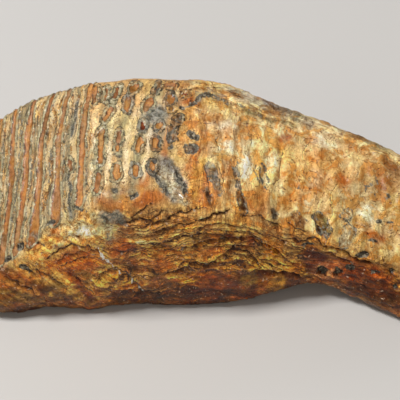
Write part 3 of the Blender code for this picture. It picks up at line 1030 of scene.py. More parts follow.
@dataclass(frozen=True)
class Ground:
    """The base colours, which turn darker down the walls: partly their own colour, partly painted shade
    towards the floor and on faces turned down.
    """

    worn_rear: float = -14.0

    def work(self, skin: Skin) -> None:
        """Lays the base colours.

        Args:
            skin: The surface.
        """
        mottle = grain(skin.points, (16.0, 12.0, 12.0), 61, 3)
        patches = grain(skin.points, 7.0, 62, 2)
        skin.paint(Tone.TAN, np.ones(len(skin.x)))
        skin.paint(Tone.STRAW, blend(mottle, -0.5, 0.4))
        skin.paint(Tone.ORANGE, 0.5 * blend(patches, 0.2, 0.9))
        skin.paint(Tone.RUST, 0.3 * blend(patches - mottle, 0.7, 1.3))
        worn = skin.crown * blend(-skin.x, -self.worn_rear, -self.worn_rear + 12.0)
        skin.paint(Tone.BUTTER, 0.8 * worn)
        skin.paint(Tone.SAGE, 0.45 * worn * blend(-skin.x, 62.0, 72.0))
        shoulder = worn * blend(skin.x, -66.0, -52.0) * (1 - blend(skin.place, 0.05, 0.14))
        skin.paint(Tone.ORANGE, 0.85 * shoulder)
        skin.paint(Tone.BROWN, 0.8 * shoulder * blend(patches, -0.6, 0.3))
        coat = skin.crown * blend(skin.x, 0.0, 24.0)
        skin.fibre -= 0.35 * skin.crown * blend(skin.x, 26.0, 50.0) * skin.fibre
        skin.mottle += 0.25 * coat
        skin.glint += 0.25 * coat
        skin.paint(Tone.CREAM, coat * (0.52 + 0.25 * blend(-skin.x, -70.0, -50.0)))
        skin.paint(Tone.IVORY, 0.22 * coat * blend(mottle, -0.6, 0.4) * blend(-skin.x, -80.0, -60.0))
        lower = 0.14 * blend(skin.x, 55.0, 75.0)
        near = skin.near_wall * blend(-skin.place - lower, -0.02, 0.1)
        left = blend(-skin.x, 10.0, 30.0)
        skin.paint(Tone.BROWN, near * (0.85 - 0.35 * left))
        skin.paint(Tone.ORANGE, 0.3 * near * blend(mottle, -0.2, 0.5))
        skin.paint(Tone.OLIVE, 0.3 * near * blend(-mottle, 0.0, 0.6))
        skin.paint(Tone.RUST, 0.3 * near * blend(patches, 0.0, 0.8))
        low = near * (1 - left)
        skin.paint(Tone.MAROON, 0.6 * low * blend(-skin.up, 18.0, 44.0))
        deep = near * blend(-skin.up, 14.0, 34.0)
        skin.mottle += 0.5 * deep
        # painted shade: the near wall darker towards the floor
        skin.paint(Tone.UMBER, 0.5 * near * blend(-skin.z, -16.0, -2.0))
        skin.paint(Tone.TAN, 0.6 * skin.far_wall)
        skin.paint(Tone.BROWN, skin.far_wall * blend(-skin.z, -55.0, -15.0) * blend(mottle, -0.9, 0.6))
        # painted shade: the far wall darker towards the floor
        skin.paint(Tone.UMBER, 0.6 * skin.far_wall * blend(-skin.z, -25.0, -2.0))
        # along the crest, greyer and darker: its own olive-grey colour, darkened further as painted shade on
        # the side turned from the light
        crest = skin.crown * blend(skin.place, 0.84, 0.95) * blend(skin.x, -14.0, 0.0)
        skin.paint(Tone.SAGE, 0.6 * crest)
        skin.paint(Tone.OLIVE, 0.8 * crest * blend(patches, -0.8, 0.2))
        skin.paint(Tone.ASH, 0.6 * crest * blend(mottle, -0.3, 0.4))
        # painted shade on every face turned down
        under = blend(-skin.normals[:, 2], -0.3, 0.7)
        skin.paint(Tone.UMBER, 0.75 * under)


@dataclass
class StainsAndPaintedHighlights:
    """The stains that the ground left, and a few painted highlights laid like them."""

    stains: tuple[Stain, ...] = (
        # the cement between the worn plates, and the cream cement round the rings
        Stain(-94.5, 52, 9, 1.6, 72, Tone.STRAW, 0.9), Stain(-73, 25, 14, 1.6, 88, Tone.STRAW, 0.6),
        Stain(-61.6, 24, 26, 1.7, 84, Tone.CREAM, 0.95), Stain(-61, 53, 8, 3, 70, Tone.CREAM, 0.8),
        Stain(-52.5, 28, 30, 1.9, 86, Tone.CREAM, 0.95), Stain(-46, 49, 8, 3.4, 80, Tone.CREAM, 0.85),
        Stain(-33, 50, 14, 5, 40, Tone.CREAM, 0.7), Stain(-41.5, 26, 18, 2.6, 80, Tone.CREAM, 0.9),
        Stain(-31, 29, 16, 2.4, 78, Tone.CREAM, 0.8), Stain(-20, 30, 12, 2, 84, Tone.ORANGE, 0.85),
        Stain(-22, 52, 6, 3, 40, Tone.STRAW, 0.7), Stain(-25, 50.2, 6, 4.6, 20, Tone.ASH, 0.9),
        Stain(-25.6, 50.4, 5, 4.4, 20, Tone.GREY, 1.1), Stain(-10, 44, 14, 3, 70, Tone.GOLD, 0.7),
        Stain(-48, 4.5, 12, 3, -84, Tone.STRAW, 0.7), Stain(-48.5, 63, 6, 3, 50, Tone.SAGE, 0.5),
        # below the plates and rings
        Stain(-30, 1, 9, 3.6, 18, Tone.ORANGE, 0.9), Stain(-32, 12, 6, 3, 70, Tone.ORANGE, 0.8),
        Stain(-40, 3, 8, 3.5, 30, Tone.GOLD, 0.7), Stain(-52, -1.5, 9, 2.6, -20, Tone.ORANGE, 0.7),
        Stain(-70, -16, 14, 5, 24, Tone.CREAM, 0.95), Stain(-57, -13, 9, 4, -30, Tone.STRAW, 0.9),
        Stain(-54, -20, 8, 2.4, -36, Tone.CREAM, 0.7), Stain(-68, -18, 9, 3, 14, Tone.IVORY, 0.6),
        Stain(-50.5, -9, 6.5, 3.4, 6, Tone.ASH, 0.75), Stain(-53.5, -14.5, 3.4, 2.6, -40, Tone.ASH, 0.6),
        Stain(-58.5, -10, 4.6, 2.6, -20, Tone.SHELL, 0.85), Stain(-84, -17.5, 3.4, 1.8, 0, Tone.ORANGE, 0.9),
        Stain(-86, -22.5, 7, 1.8, 14, Tone.GOLD, 0.9), Stain(-97, -26, 4.5, 3, 0, Tone.RUST, 0.8),
        Stain(-92, -28.5, 10, 2, 20, Tone.GOLD, 0.8), Stain(-104, -35, 8, 2, 24, Tone.STRAW, 0.7),
        Stain(-36, -22, 7, 2.6, 8, Tone.CREAM, 0.8), Stain(-51.5, -8, 6.5, 3, 10, Tone.GREY, 1),
        Stain(-45, -10.5, 4.5, 2.6, -30, Tone.GREY, 1), Stain(-52, -20.5, 4, 2.6, -70, Tone.GREY, 0.9),
        Stain(-83, -27, 3, 1.2, 10, Tone.GREY, 1), Stain(-96, -20.5, 2.4, 1.8, 0, Tone.GREY, 0.8),
        # the rough patch behind the rings
        Stain(-17.4, 11.6, 15.5, 6.4, -57, Tone.ASH, 0.95), Stain(-18, 11, 10, 3.4, -57, Tone.SHELL, 0.9),
        Stain(-17, 9, 5, 1.8, -57, Tone.IVORY, 0.3), Stain(-22.8, 9.5, 7.5, 1.2, -60, Tone.SLATE, 1),
        Stain(-11, 9.6, 8, 1.4, -60, Tone.SLATE, 1.1), Stain(-14, 18.5, 6, 1.6, -55, Tone.GREY, 0.9),
        Stain(-4.4, 37.4, 4, 1, -32, Tone.BLACK, 1.35), Stain(-10.6, 0.5, 4.4, 2.2, -50, Tone.SHELL, 0.95),
        Stain(-11.6, 1.6, 2.6, 0.9, -50, Tone.CHALK, 0.75),
        # the rear coat
        Stain(52, 51, 7, 2.2, -28, Tone.UMBER, 0.6), Stain(93, 29, 9, 3, -30, Tone.TAN, 0.35),
        Stain(-2.5, 11.5, 11, 4, 80, Tone.GOLD, 0.9), Stain(-4.5, 24, 8, 3, 70, Tone.ORANGE, 0.7),
        Stain(2, 48, 12, 7, 10, Tone.GOLD, 0.6), Stain(9, 52, 12, 3, 0, Tone.CREAM, 0.6),
        Stain(14, 44, 12, 5, -20, Tone.TAN, 0.5), Stain(9, 30, 12, 4, 85, Tone.CREAM, 0.6),
        Stain(16, 12, 12, 2.4, 84, Tone.TAN, 0.6), Stain(17.5, 31, 4.5, 3.5, 0, Tone.CREAM, 0.9),
        Stain(5, 6, 12, 4.5, 80, Tone.ORANGE, 0.6), Stain(28, 27, 12, 6, 85, Tone.CREAM, 0.85),
        Stain(44, 19, 10, 5, 80, Tone.CREAM, 0.8), Stain(37, 24, 16, 10, 80, Tone.STRAW, 0.6),
        Stain(34, 0, 9, 5, 70, Tone.ORANGE, 0.7), Stain(52, 0, 7, 4, 60, Tone.GOLD, 0.7),
        Stain(31, 44, 10, 3.5, -20, Tone.CREAM, 0.5), Stain(50, 36, 4, 2.4, 20, Tone.RUST, 0.8),
        Stain(65, 35, 3.4, 2.4, 0, Tone.ORANGE, 0.7), Stain(56, 24, 14, 7, -30, Tone.GOLD, 0.45),
        Stain(58, 12, 8, 4, 40, Tone.STRAW, 0.6), Stain(70, 20, 8, 5, 60, Tone.BUTTER, 0.7),
        # Stain(64, 1.5) in cream, with Stain(64, 0.5) in ivory further on, is a painted highlight streak
        Stain(69, 12, 7, 4, 60, Tone.PINK, 0.5), Stain(64, 1.5, 6, 2.4, 66, Tone.CREAM, 0.9),
        Stain(86, 20, 16, 7, -24, Tone.STRAW, 0.5), Stain(84, 11, 4.6, 3.6, 0, Tone.ORANGE, 0.8),
        Stain(76, 24, 9, 4, -30, Tone.TAN, 0.5), Stain(100, 12, 12, 6, -20, Tone.TAN, 0.5),
        # Stain(98, -8.6) in ivory is a painted highlight
        Stain(110, 8, 6, 4, -20, Tone.ORANGE, 0.6), Stain(98, -8.6, 6, 5, 10, Tone.IVORY, 0.95),
        Stain(64, 0.5, 4, 2.2, 60, Tone.IVORY, 0.8), Stain(27, 19, 8, 3.2, 80, Tone.IVORY, 0.8),
        Stain(42, 22, 6, 4.4, 60, Tone.IVORY, 0.75), Stain(15, 31, 4.6, 3.4, 0, Tone.IVORY, 0.8),
        Stain(12, 43, 9, 3, 10, Tone.IVORY, 0.5), Stain(65, 13, 5, 3.6, 60, Tone.IVORY, 0.6),
        Stain(72, 33, 8, 2.6, -30, Tone.IVORY, 0.6), Stain(86, 22, 10, 4, -30, Tone.CREAM, 0.6),
        Stain(31, 4, 4, 8, 80, Tone.GOLD, 0.5), Stain(52, 11, 5, 3, 50, Tone.GOLD, 0.6),
        Stain(57, 33, 9, 3, 30, Tone.TAN, 0.5), Stain(27, 40, 7, 3, 40, Tone.GOLD, 0.6),
        Stain(6, 38, 6, 3, 60, Tone.GOLD, 0.6), Stain(104, -13, 9, 3, 70, Tone.CREAM, 0.7),
        Stain(85, -16.5, 8, 4, 76, Tone.CREAM, 0.6), Stain(99.5, -20, 4, 2.6, -30, Tone.ORANGE, 0.8),
        Stain(105.5, -22.5, 3, 2, 20, Tone.RUST, 0.6), Stain(100, 36, 15, 4, -36, Tone.OLIVE, 0.6),
        Stain(34, 55, 20, 4, -20, Tone.SAGE, 0.6), Stain(52, 50, 16, 2.4, -26, Tone.ASH, 0.5),
        Stain(111, 14, 8, 7, -40, Tone.TAN, 0.7), Stain(112, 20, 8, 3, -50, Tone.BROWN, 0.6),
        Stain(56, 18, 26, 12, -14, Tone.GOLD, 0.35), Stain(111, -29.5, 4.4, 3.2, 60, Tone.CREAM, 0.8),
        Stain(112, -3, 6, 6, 80, Tone.GOLD, 0.5), Stain(67, -35, 9, 7, -20, Tone.MAROON, 0.9),
        Stain(76, -42, 9.5, 5, -4, Tone.PINK, 0.7), Stain(96, -44, 18, 8, -24, Tone.RUST, 0.6),
        Stain(106, -55, 14, 6, -30, Tone.UMBER, 0.7),
        # small marks in the coat
        Stain(66, -15.5, 3.5, 1.4, -60, Tone.CREAM, 0.9), Stain(48, 8, 1.2, 0.9, 0, Tone.SLATE, 0.8),
        Stain(57, 6.6, 1.8, 0.8, -40, Tone.SLATE, 0.8), Stain(109.9, 2, 1.6, 1.4, 0, Tone.SLATE, 0.9),
        # the near wall
        Stain(-98, -44, 26, 3, -30, Tone.STRAW, 0.35), Stain(-70, -36.5, 15, 5, 20, Tone.ORANGE, 0.8),
        Stain(-78, -33, 9, 2.4, 30, Tone.RUST, 0.7), Stain(-98, -50, 22, 3.4, -28, Tone.BROWN, 0.7),
        Stain(-82, -42, 9, 2.6, -40, Tone.ORANGE, 0.8), Stain(-78, -49, 12, 2.6, -34, Tone.STRAW, 0.7),
        Stain(-84, -54, 12, 2.4, -26, Tone.UMBER, 0.6), Stain(-104, -57, 14, 2.6, -18, Tone.OLIVE, 0.5),
        Stain(-66, -52, 9, 3.6, -20, Tone.RUST, 0.6), Stain(-58, -47, 7, 3, 20, Tone.GOLD, 0.6),
        Stain(-46, -27, 9, 6, 0, Tone.RUST, 0.6), Stain(-44, -47, 9, 3, -30, Tone.GOLD, 0.7),
        Stain(-40, -45, 5, 0.9, -34, Tone.SLATE, 0.7), Stain(-26, -30, 12, 3, 16, Tone.GOLD, 0.6),
        Stain(-20, -37, 9, 3, 8, Tone.ORANGE, 0.6), Stain(-8, -46, 9, 3, 14, Tone.GOLD, 0.6),
        Stain(-10, -34, 6, 3, 30, Tone.STRAW, 0.6), Stain(4, -16, 18, 1.6, 0, Tone.STRAW, 0.9),
        Stain(0, -26, 14, 2.4, 10, Tone.GOLD, 0.4), Stain(8, -20.5, 13, 1.8, 4, Tone.UMBER, 0.7),
        Stain(24, -21.5, 9, 1.6, -10, Tone.RUST, 0.7), Stain(22, -14, 14, 2, -8, Tone.STRAW, 0.8),
        Stain(6, -29.5, 8, 2, 4, Tone.ORANGE, 0.7), Stain(12, -44, 16, 7, 6, Tone.BROWN, 0.6),
        Stain(16, -54, 24, 5, 4, Tone.MAROON, 0.5), Stain(36, -49, 13, 4.6, 6, Tone.TAN, 0.5),
        Stain(41, -49, 9, 3.2, 8, Tone.GOLD, 0.7), Stain(28, -46, 6, 3, 10, Tone.OLIVE, 0.5),
        Stain(50, -34, 14, 3.6, -30, Tone.GOLD, 0.7), Stain(44, -20, 10, 3, -34, Tone.TAN, 0.6),
        Stain(58, -18, 12, 3, -34, Tone.GOLD, 0.5), Stain(-10, -55, 44, 3, 2, Tone.UMBER, 0.7),
    )
    streaks: tuple[Streak, ...] = (
        # down each row of rings
        Streak(((-48.7, 65), (-54.5, 50.5), (-57.4, 32.5), (-58.8, 12.8), (-60, 3)), 3.4, Tone.SAGE, 0.9),
        Streak(((-37.7, 66), (-41.8, 56.3), (-45.2, 38.9), (-47.6, 15.7), (-49.3, 3)), 3.6, Tone.SAGE, 0.9),
        Streak(((-24.9, 65), (-30.2, 55), (-35.2, 32.5), (-37, 16.8), (-39.4, 5)), 3.6, Tone.SAGE, 0.9),
        Streak(((-17, 62), (-17, 58.8), (-23.2, 43.5), (-25.5, 32), (-27.5, 17)), 3.4, Tone.SAGE, 0.8),
        # the cream cement between the rows
        Streak(((-61, 46), (-61.2, 38), (-62.2, 24), (-63.6, 8)), 1.2, Tone.IVORY, 0.8),
        Streak(
            ((-50, 58.5), (-48, 51), (-51.4, 40), (-52.2, 26), (-53.4, 14.5), (-54.2, 10)),
            1.3, Tone.IVORY, 0.85,
        ),
        Streak(
            ((-37.3, 53.4), (-39.8, 45), (-41.4, 37.7), (-43, 31), (-42.7, 19.7), (-43.9, 9.5)),
            1.3, Tone.IVORY, 0.85,
        ),
        Streak(((-26, 66), (-30.7, 62), (-36.5, 59), (-37.3, 53.4)), 1.4, Tone.CREAM, 0.9),
        Streak(((-26.5, 41.2), (-30.2, 37), (-30.5, 27.8), (-32.6, 19), (-32.6, 11)), 1.3, Tone.IVORY, 0.85),
        Streak(((-39.8, 45), (-35, 38.5), (-30.2, 37)), 1, Tone.CREAM, 0.7),
        # single lines, and the chips in the near wall
        Streak(((-11, 48), (-16, 38), (-17, 30)), 2.6, Tone.OLIVE, 0.6),
        Streak(((-72, 58), (-73.5, 48), (-74.8, 37.7)), 1.6, Tone.ASH, 0.85),
        Streak(((-72, 58), (-73.5, 48), (-74.8, 37.7)), 1.4, Tone.SLATE, 0.85),
        Streak(((-76.5, 16), (-75, 4), (-74, -9)), 2, Tone.ASH, 0.9),
        Streak(((-76.5, 16), (-75, 4), (-74, -9)), 1.5, Tone.SLATE, 0.9),
        Streak(((-86, 30), (-87.5, 12), (-88.5, -6)), 0.7, Tone.SLATE, 0.6),
        Streak(((-104.5, 50), (-105, 30), (-106, 10), (-109, -12)), 0.7, Tone.SLATE, 0.6),
        Streak(((-5.5, 55.5), (-2.5, 59), (2, 61), (6, 61.2)), 1.7, Tone.BLACK, 0.9),
        Streak(((-6.5, 55), (-3, 58.5), (2, 60.4), (9, 60.4), (16, 56)), 1.5, Tone.SLATE, 0.9),
        Streak(((-1, 58.2), (4, 59.6), (10, 58.4)), 0.9, Tone.GREY, 0.9),
        Streak(((-2, 62), (6, 63), (13, 60)), 1.6, Tone.GREY, 0.9),
        Streak(((-14, 63), (-2, 64), (12, 60), (27, 54), (40, 49)), 2.2, Tone.CREAM, 0.7),
        Streak(
            ((26.7, 51.3), (33.6, 50), (37.7, 46.4), (43.5, 44.7), (48, 45.2), (55, 44)),
            1.2, Tone.OLIVE, 0.8,
        ),
        Streak(((20, 55.5), (28, 52.6), (34, 48.8), (41, 46.6)), 0.8, Tone.SLATE, 0.7),
        Streak(((33.6, 19), (35.5, 13), (38.5, 6.6)), 0.9, Tone.BLACK, 0.85),
        Streak(((44.7, 29.5), (47.5, 22.5), (46, 16), (43, 9.4), (40, 6.5)), 0.6, Tone.BROWN, 0.7),
        Streak(((-61.5, -25), (-58.5, -29), (-56, -32)), 0.4, Tone.CHALK, 1),
        Streak(((-57.5, -30.5), (-55.8, -32.5), (-54.6, -35.2), (-52.5, -36.6)), 0.8, Tone.CHALK, 1),
        Streak(((-53, -36.5), (-50.5, -39.5), (-46, -42.5)), 0.5, Tone.CHALK, 1),
        Streak(((-57.6, -32.6), (-55.2, -36.2), (-52.4, -38.4), (-49, -42)), 0.6, Tone.SLATE, 0.9),
        Streak(((-41.5, -45.5), (-38, -49.5)), 0.5, Tone.CHALK, 0.6),
        Streak(((-36, -51.5), (-33, -54)), 0.5, Tone.CHALK, 0.6),
        # a painted glint, in cream
        Streak(((-13, -44), (-8.5, -45.4)), 1.2, Tone.CREAM, 0.9),
        # a painted highlight along a ridge, in straw
        Streak(((-66, -50), (-62.5, -53.5), (-60, -57)), 1, Tone.STRAW, 0.9),
        Streak(((-88, -55), (-82, -57)), 0.8, Tone.STRAW, 0.8),
        Streak(((95, 4.5), (98.5, 9), (102.5, 11.6), (106, 9.5)), 0.9, Tone.SLATE, 0.7),
        Streak(((99, 5.5), (101.5, 3.6), (102, 1.5)), 0.8, Tone.BLACK, 0.7),
        Streak(((2, -15.7), (10, -14.5), (19, -14.5), (25, -15)), 0.8, Tone.CREAM, 0.6),
        Streak(((-20, -15.5), (-8, -12.5), (4, -8.2), (14, -5)), 0.8, Tone.CREAM, 0.5),
        Streak(((67, -40), (70, -37), (76, -36.5), (84, -38)), 1.4, Tone.PINK, 0.9),
    )
    washes: tuple[Wash, ...] = (
        Wash(-66, -34, 42, 16, 10, (1.40, 1.48, 1.56)),
        Wash(-70, -15, 20, 6, 0, (1.10, 1.20, 1.35)),
        Wash(5, -48, 22, 10, 0, (1.42, 1.32, 0.86)),
        Wash(39, -47, 14, 6, 0, (0.90, 0.94, 0.70)),
        Wash(99, -48, 16, 12, -20, (0.90, 0.88, 0.70)),
        Wash(-72, 30, 14, 22, 0, (0.92, 0.98, 1.10)),
        Wash(-19, 46, 10, 18, 0, (1.0, 1.10, 1.40)),
        Wash(-17, 12, 8, 12, 0, (0.97, 1.0, 1.18)),
        Wash(8, 28, 13, 24, 0, (0.96, 1.02, 1.15)),
        Wash(40, 22, 20, 20, 0, (1.20, 1.34, 1.48)),
        Wash(72, 38, 12, 4, -30, (1.0, 1.06, 1.3)),
        Wash(35, 58, 20, 4, -20, (1.0, 1.0, 1.3)),
        Wash(100, 0, 14, 20, 0, (0.90, 1.0, 1.10)),
    )
    facets: float = 0.5
    facet_size: tuple[float, float, float] = (9.0, 4.0, 4.0)
    iron: Tint = (1.02, 0.98, 0.80)  # of the whole near wall
    low_iron: Tint = (1.0, 0.92, 0.7)  # and of its lower part
    weathered: ClassVar[dict[Tone, float]] = {Tone.SHELL: 0.7, Tone.ASH: 0.5}
    firmness: ClassVar[dict[Tone, float]] = {Tone.BLACK: 2.6, Tone.CHALK: 1.6}
    crisp: ClassVar[dict[Tone, Mark]] = {
        Tone.SLATE: Mark.DARK, Tone.BLACK: Mark.DARK, Tone.CHALK: Mark.PALE, Tone.GREY: Mark.GREY,
    }

    def work(self, skin: Skin) -> None:
        """Paints the stains and streaks, then tints what lies under them.

        Args:
            skin: The surface.
        """
        for stain in self.stains:
            if stain.tone in self.crisp:
                inside = 2 * stain.strength - 1.7 - skin.outside(stain) - skin.hidden
                self.mark(skin, stain.tone, inside)
            else:
                inside = skin.within(stain, 0.3 * stain.wide + 0.4)
                skin.paint(stain.tone, stain.strength * inside)
                skin.grit += self.weathered.get(stain.tone, 0.0) * inside
        for streak in self.streaks:
            away, _ = skin.away(streak)
            if streak.tone in self.crisp:
                self.mark(skin, streak.tone, 0.7 * streak.width - away - skin.hidden)
            else:
                skin.paint(streak.tone, streak.strength * np.exp(-((away / streak.width) ** 2)) * skin.shown)
        skin.tint(self.iron, skin.near_wall * blend(-skin.place, 0.0, 0.15))
        low = skin.near_wall * blend(-skin.up, 24.0, 48.0)
        skin.tint(self.low_iron, low)
        facets = np.clip(1.5 * grain(skin.points, self.facet_size, 63, 3), -1.0, 1.0)
        skin.colour *= 1 + (self.facets * low * facets)[:, None]
        for wash in self.washes:
            skin.tint(wash.tint, skin.within(wash, wash.soft))

    def mark(self, skin: Skin, tone: Tone, inside: np.ndarray) -> None:
        """Lays a crisp mark of a tone, as far inside as given."""
        skin.mark(self.crisp[tone], self.firmness.get(tone, 1.0) * inside)


@dataclass
class Windows:
    """Places where the coat has flaked off the plates under it."""

    windows: tuple[Window, ...] = (
        Window(6.4, 16.4, 5.2, 3, -60, Tone.ASH, 0.9, -0.2),
        Window(9.2, 8.6, 6.5, 2, -66, Tone.ASH, 0.9, 0.2),
        Window(4.6, 2.6, 5, 1.4, -76, Tone.SLATE, 0.2),
        Window(19.4, 21, 3.8, 1.7, -84, Tone.IVORY, 0.8, -0.4),
        Window(21.2, 12, 7, 1.4, -80, Tone.ASH, 0.9),
        Window(23.6, -2, 6.6, 2.3, -70, Tone.UMBER, 0.9, 0.9),
        Window(35.6, 15, 6.4, 3, -62, Tone.IVORY, 1.1, -1),
        Window(42.6, -8.8, 3.2, 2.4, -60, Tone.SLATE, 0.7),
        Window(57.2, -11, 5.6, 2.6, -62, Tone.BROWN, 0.6),
        Window(70.6, -14.2, 7.6, 3, -62, Tone.OLIVE, 1.1, 1),
        Window(85.2, -8.6, 4, 3.1, 60, Tone.SHELL, 1, 0),
        Window(85.6, -20.2, 7.2, 3.5, 68, Tone.SHELL, 0.9, 0.2),
        Window(-5.5, 29.5, 4.2, 2.6, -22, Tone.SLATE, 1.3, 1),
    )
    depth: float = 0.4
    roughness: float = 0.5

    def work(self, skin: Skin) -> None:
        """Opens the windows.

        Args:
            skin: The surface.
        """
        rough = grain(skin.points, 2.6, 36, 2)
        for window in self.windows:
            outside = skin.outside(window) + skin.hidden
            inside = blend(-outside, -0.5, 0.6)
            skin.height += inside * (self.roughness * rough - self.depth)
            skin.paint(window.tone, 0.85 * inside)
            skin.paint(Tone.CREAM, 0.5 * inside * blend(rough, 0.2, 0.7))
            skin.mark(Mark.DARK, 1.6 * (window.edge * 0.9 - 0.2 - np.abs(outside) * 1.4))
            skin.mark(Mark.DARK, 1.6 * (-rough - 1.1) + window.spots, inside > 0.5)
            skin.grit += 0.4 * inside


# ---- The finish --------------------------------------------------------------------------------------


class Graph:
    """A short way to wire a material's nodes."""

    def __init__(self, name: str) -> None:
        """Starts a material with a plain shader.

        Args:
            name: The material's name.
        """
        self.material = bpy.data.materials.new(name)
        self.material.use_nodes = True
        self.tree = self.material.node_tree
        self.shader = self.tree.nodes["Principled BSDF"]
        self.object_at = self.tree.nodes.new("ShaderNodeTexCoord").outputs["Object"]

    def feed(self, value: Value, socket: Socket) -> None:
        """Links a socket, or sets it to a plain value.

        Args:
            value: A socket, a number or a colour.
            socket: Where it goes.
        """
        if isinstance(value, bpy.types.NodeSocket):
            self.tree.links.new(value, socket)
        else:
            socket.default_value = value

    def attribute(self, name: str, output: str = "Fac") -> Socket:
        """Reads one of the mesh's attributes.

        Args:
            name: The attribute's name.
            output: Which of the node's outputs is read.

        Returns:
            The attribute.
        """
        node = self.tree.nodes.new("ShaderNodeAttribute")
        node.attribute_name = name
        return node.outputs[output]

    def split(self, name: str) -> tuple[Socket, Socket, Socket]:
        """Reads an attribute of three numbers.

        Args:
            name: The attribute's name.

        Returns:
            The three numbers.
        """
        node = self.tree.nodes.new("ShaderNodeSeparateXYZ")
        self.feed(self.attribute(name, "Vector"), node.inputs[0])
        return tuple(node.outputs)

    def limit(self, colour: Socket, most: Tint) -> Socket:
        """Keeps a colour no brighter than another.

        Args:
            colour: The colour.
            most: The brightest that it may be.

        Returns:
            The limited colour.
        """
        node = self.tree.nodes.new("ShaderNodeVectorMath")
        node.operation = "MINIMUM"
        self.feed(colour, node.inputs[0])
        node.inputs[1].default_value = most
        return node.outputs["Vector"]

    def math(self, operation: str, *values: Value) -> Socket:
        """Works out a sum of numbers.

        Args:
            operation: The sum, as a maths node names it.
            values: What goes into it, in order.

        Returns:
            The result.
        """
        node = self.tree.nodes.new("ShaderNodeMath")
        node.operation = operation
        for value, socket in zip(values, node.inputs):
            self.feed(value, socket)
        return node.outputs[0]

    def times(self, first: Value, second: Value) -> Socket:
        """Multiplies two numbers."""
        return self.math("MULTIPLY", first, second)

    def uneven(self, *parts: tuple[Socket, float]) -> Socket:
        """Adds noises up, each centred on 0.

        Args:
            parts: Each noise, and how much of it there is.

        Returns:
            Their sum.
        """
        total = 0.0
        for source, size in parts:
            total = self.math("ADD", self.math("MULTIPLY_ADD", source, size, -size / 2), total)
        return total

    def noise(
        self, size: float, detail: float, rough: float, at: Socket | None = None, swirl: float = 0.0
    ) -> Socket:
        """Reads noise.

        Args:
            size: How large its features are, in millimetres.
            detail: How many finer layers it has.
            rough: How strong the finer layers are.
            at: Where it is read, in millimetres. Left out, it is the place in space.
            swirl: How much it is twisted.

        Returns:
            A number around 0.5.
        """
        node = self.tree.nodes.new("ShaderNodeTexNoise")
        self.feed(self.object_at if at is None else at, node.inputs["Vector"])
        node.inputs["Scale"].default_value = 1 / (size * MM) if at is None else 1 / size
        node.inputs["Detail"].default_value = detail
        node.inputs["Roughness"].default_value = rough
        node.inputs["Distortion"].default_value = swirl
        return node.outputs["Fac"]

    def step(
        self, value: Value, low: float, high: float, to_low: float = 0.0, to_high: float = 1.0
    ) -> Socket:
        """Goes smoothly from one number to another.

        Args:
            value: What it follows.
            low: The value where it starts.
            high: The value where it stops. It may be below low.
            to_low: What it is at low.
            to_high: What it is at high.

        Returns:
            The number.
        """
        node = self.tree.nodes.new("ShaderNodeMapRange")
        node.interpolation_type = "SMOOTHSTEP"
        self.feed(value, node.inputs["Value"])
        for name, number in zip(("From Min", "From Max", "To Min", "To Max"), (low, high, to_low, to_high)):
            node.inputs[name].default_value = number
        return node.outputs["Result"]

    def line(self, value: Socket, middle: float, half: float) -> Socket:
        """Is 1 where value is at the middle, and 0 from half away on."""
        return self.step(self.math("ABSOLUTE", self.math("SUBTRACT", value, middle)), half, 0.2 * half)

    def mix(self, share: Value, first: Value, second: Value, kind: str = "MIX") -> Socket:
        """Mixes two colours.

        Args:
            share: How much of the second there is.
            first: The first colour.
            second: The second colour.
            kind: How they are mixed.

        Returns:
            The mixed colour.
        """
        node = self.tree.nodes.new("ShaderNodeMix")
        node.data_type = "RGBA"
        node.blend_type = kind
        self.feed(share, node.inputs[0])
        self.feed(first, node.inputs[6])
        self.feed(second, node.inputs[7])
        return node.outputs[2]

    def tint(self, colour: Value, *layers: tuple[Value, Tint]) -> Socket:
        """Multiplies a colour by one tint after another.

        Args:
            colour: The colour.
            layers: How much of each tint there is, and the tint.

        Returns:
            The tinted colour.
        """
        for share, tint in layers:
            colour = self.mix(share, colour, (*tint, 1.0), "MULTIPLY")
        return colour


@dataclass
class Noises:
    """The noises that the whole finish is made from."""

    hair: Socket  # fine lines along the grain
    strand: Socket  # broad ones
    dash: Socket  # short dashes along the grain
    fine: Socket  # the finest grit
    speckle: Socket  # specks
    crumb: Socket  # crumbs
    cloud: Socket  # patches
    tinge: Socket  # slow drift of hue
    swirl: Socket  # slow, for cracks along its middle value
    run: Socket  # the same along the grain

    @classmethod
    def lay(cls, g: Graph) -> Noises:
        """Lays the noises into a material.

        Args:
            g: The material's graph.

        Returns:
            The noises.
        """
        streak_at = g.attribute("streak_at", "Vector")
        return cls(
            hair=g.noise(1.7, 4.0, 0.6, streak_at),
            strand=g.noise(4.2, 4.0, 0.6, streak_at, swirl=0.4),
            dash=g.noise(1.1, 1.0, 0.5, streak_at),
            fine=g.noise(0.9, 3.0, 0.6),
            speckle=g.noise(1.7, 2.0, 0.55),
            crumb=g.noise(2.8, 4.0, 0.66, swirl=0.4),
            cloud=g.noise(9.0, 7.0, 0.66, swirl=0.9),
            tinge=g.noise(16.0, 3.0, 0.6),
            swirl=g.noise(8.0, 3.0, 0.55, swirl=1.4),
            run=g.noise(5.0, 3.0, 0.55, streak_at, swirl=0.8),
        )


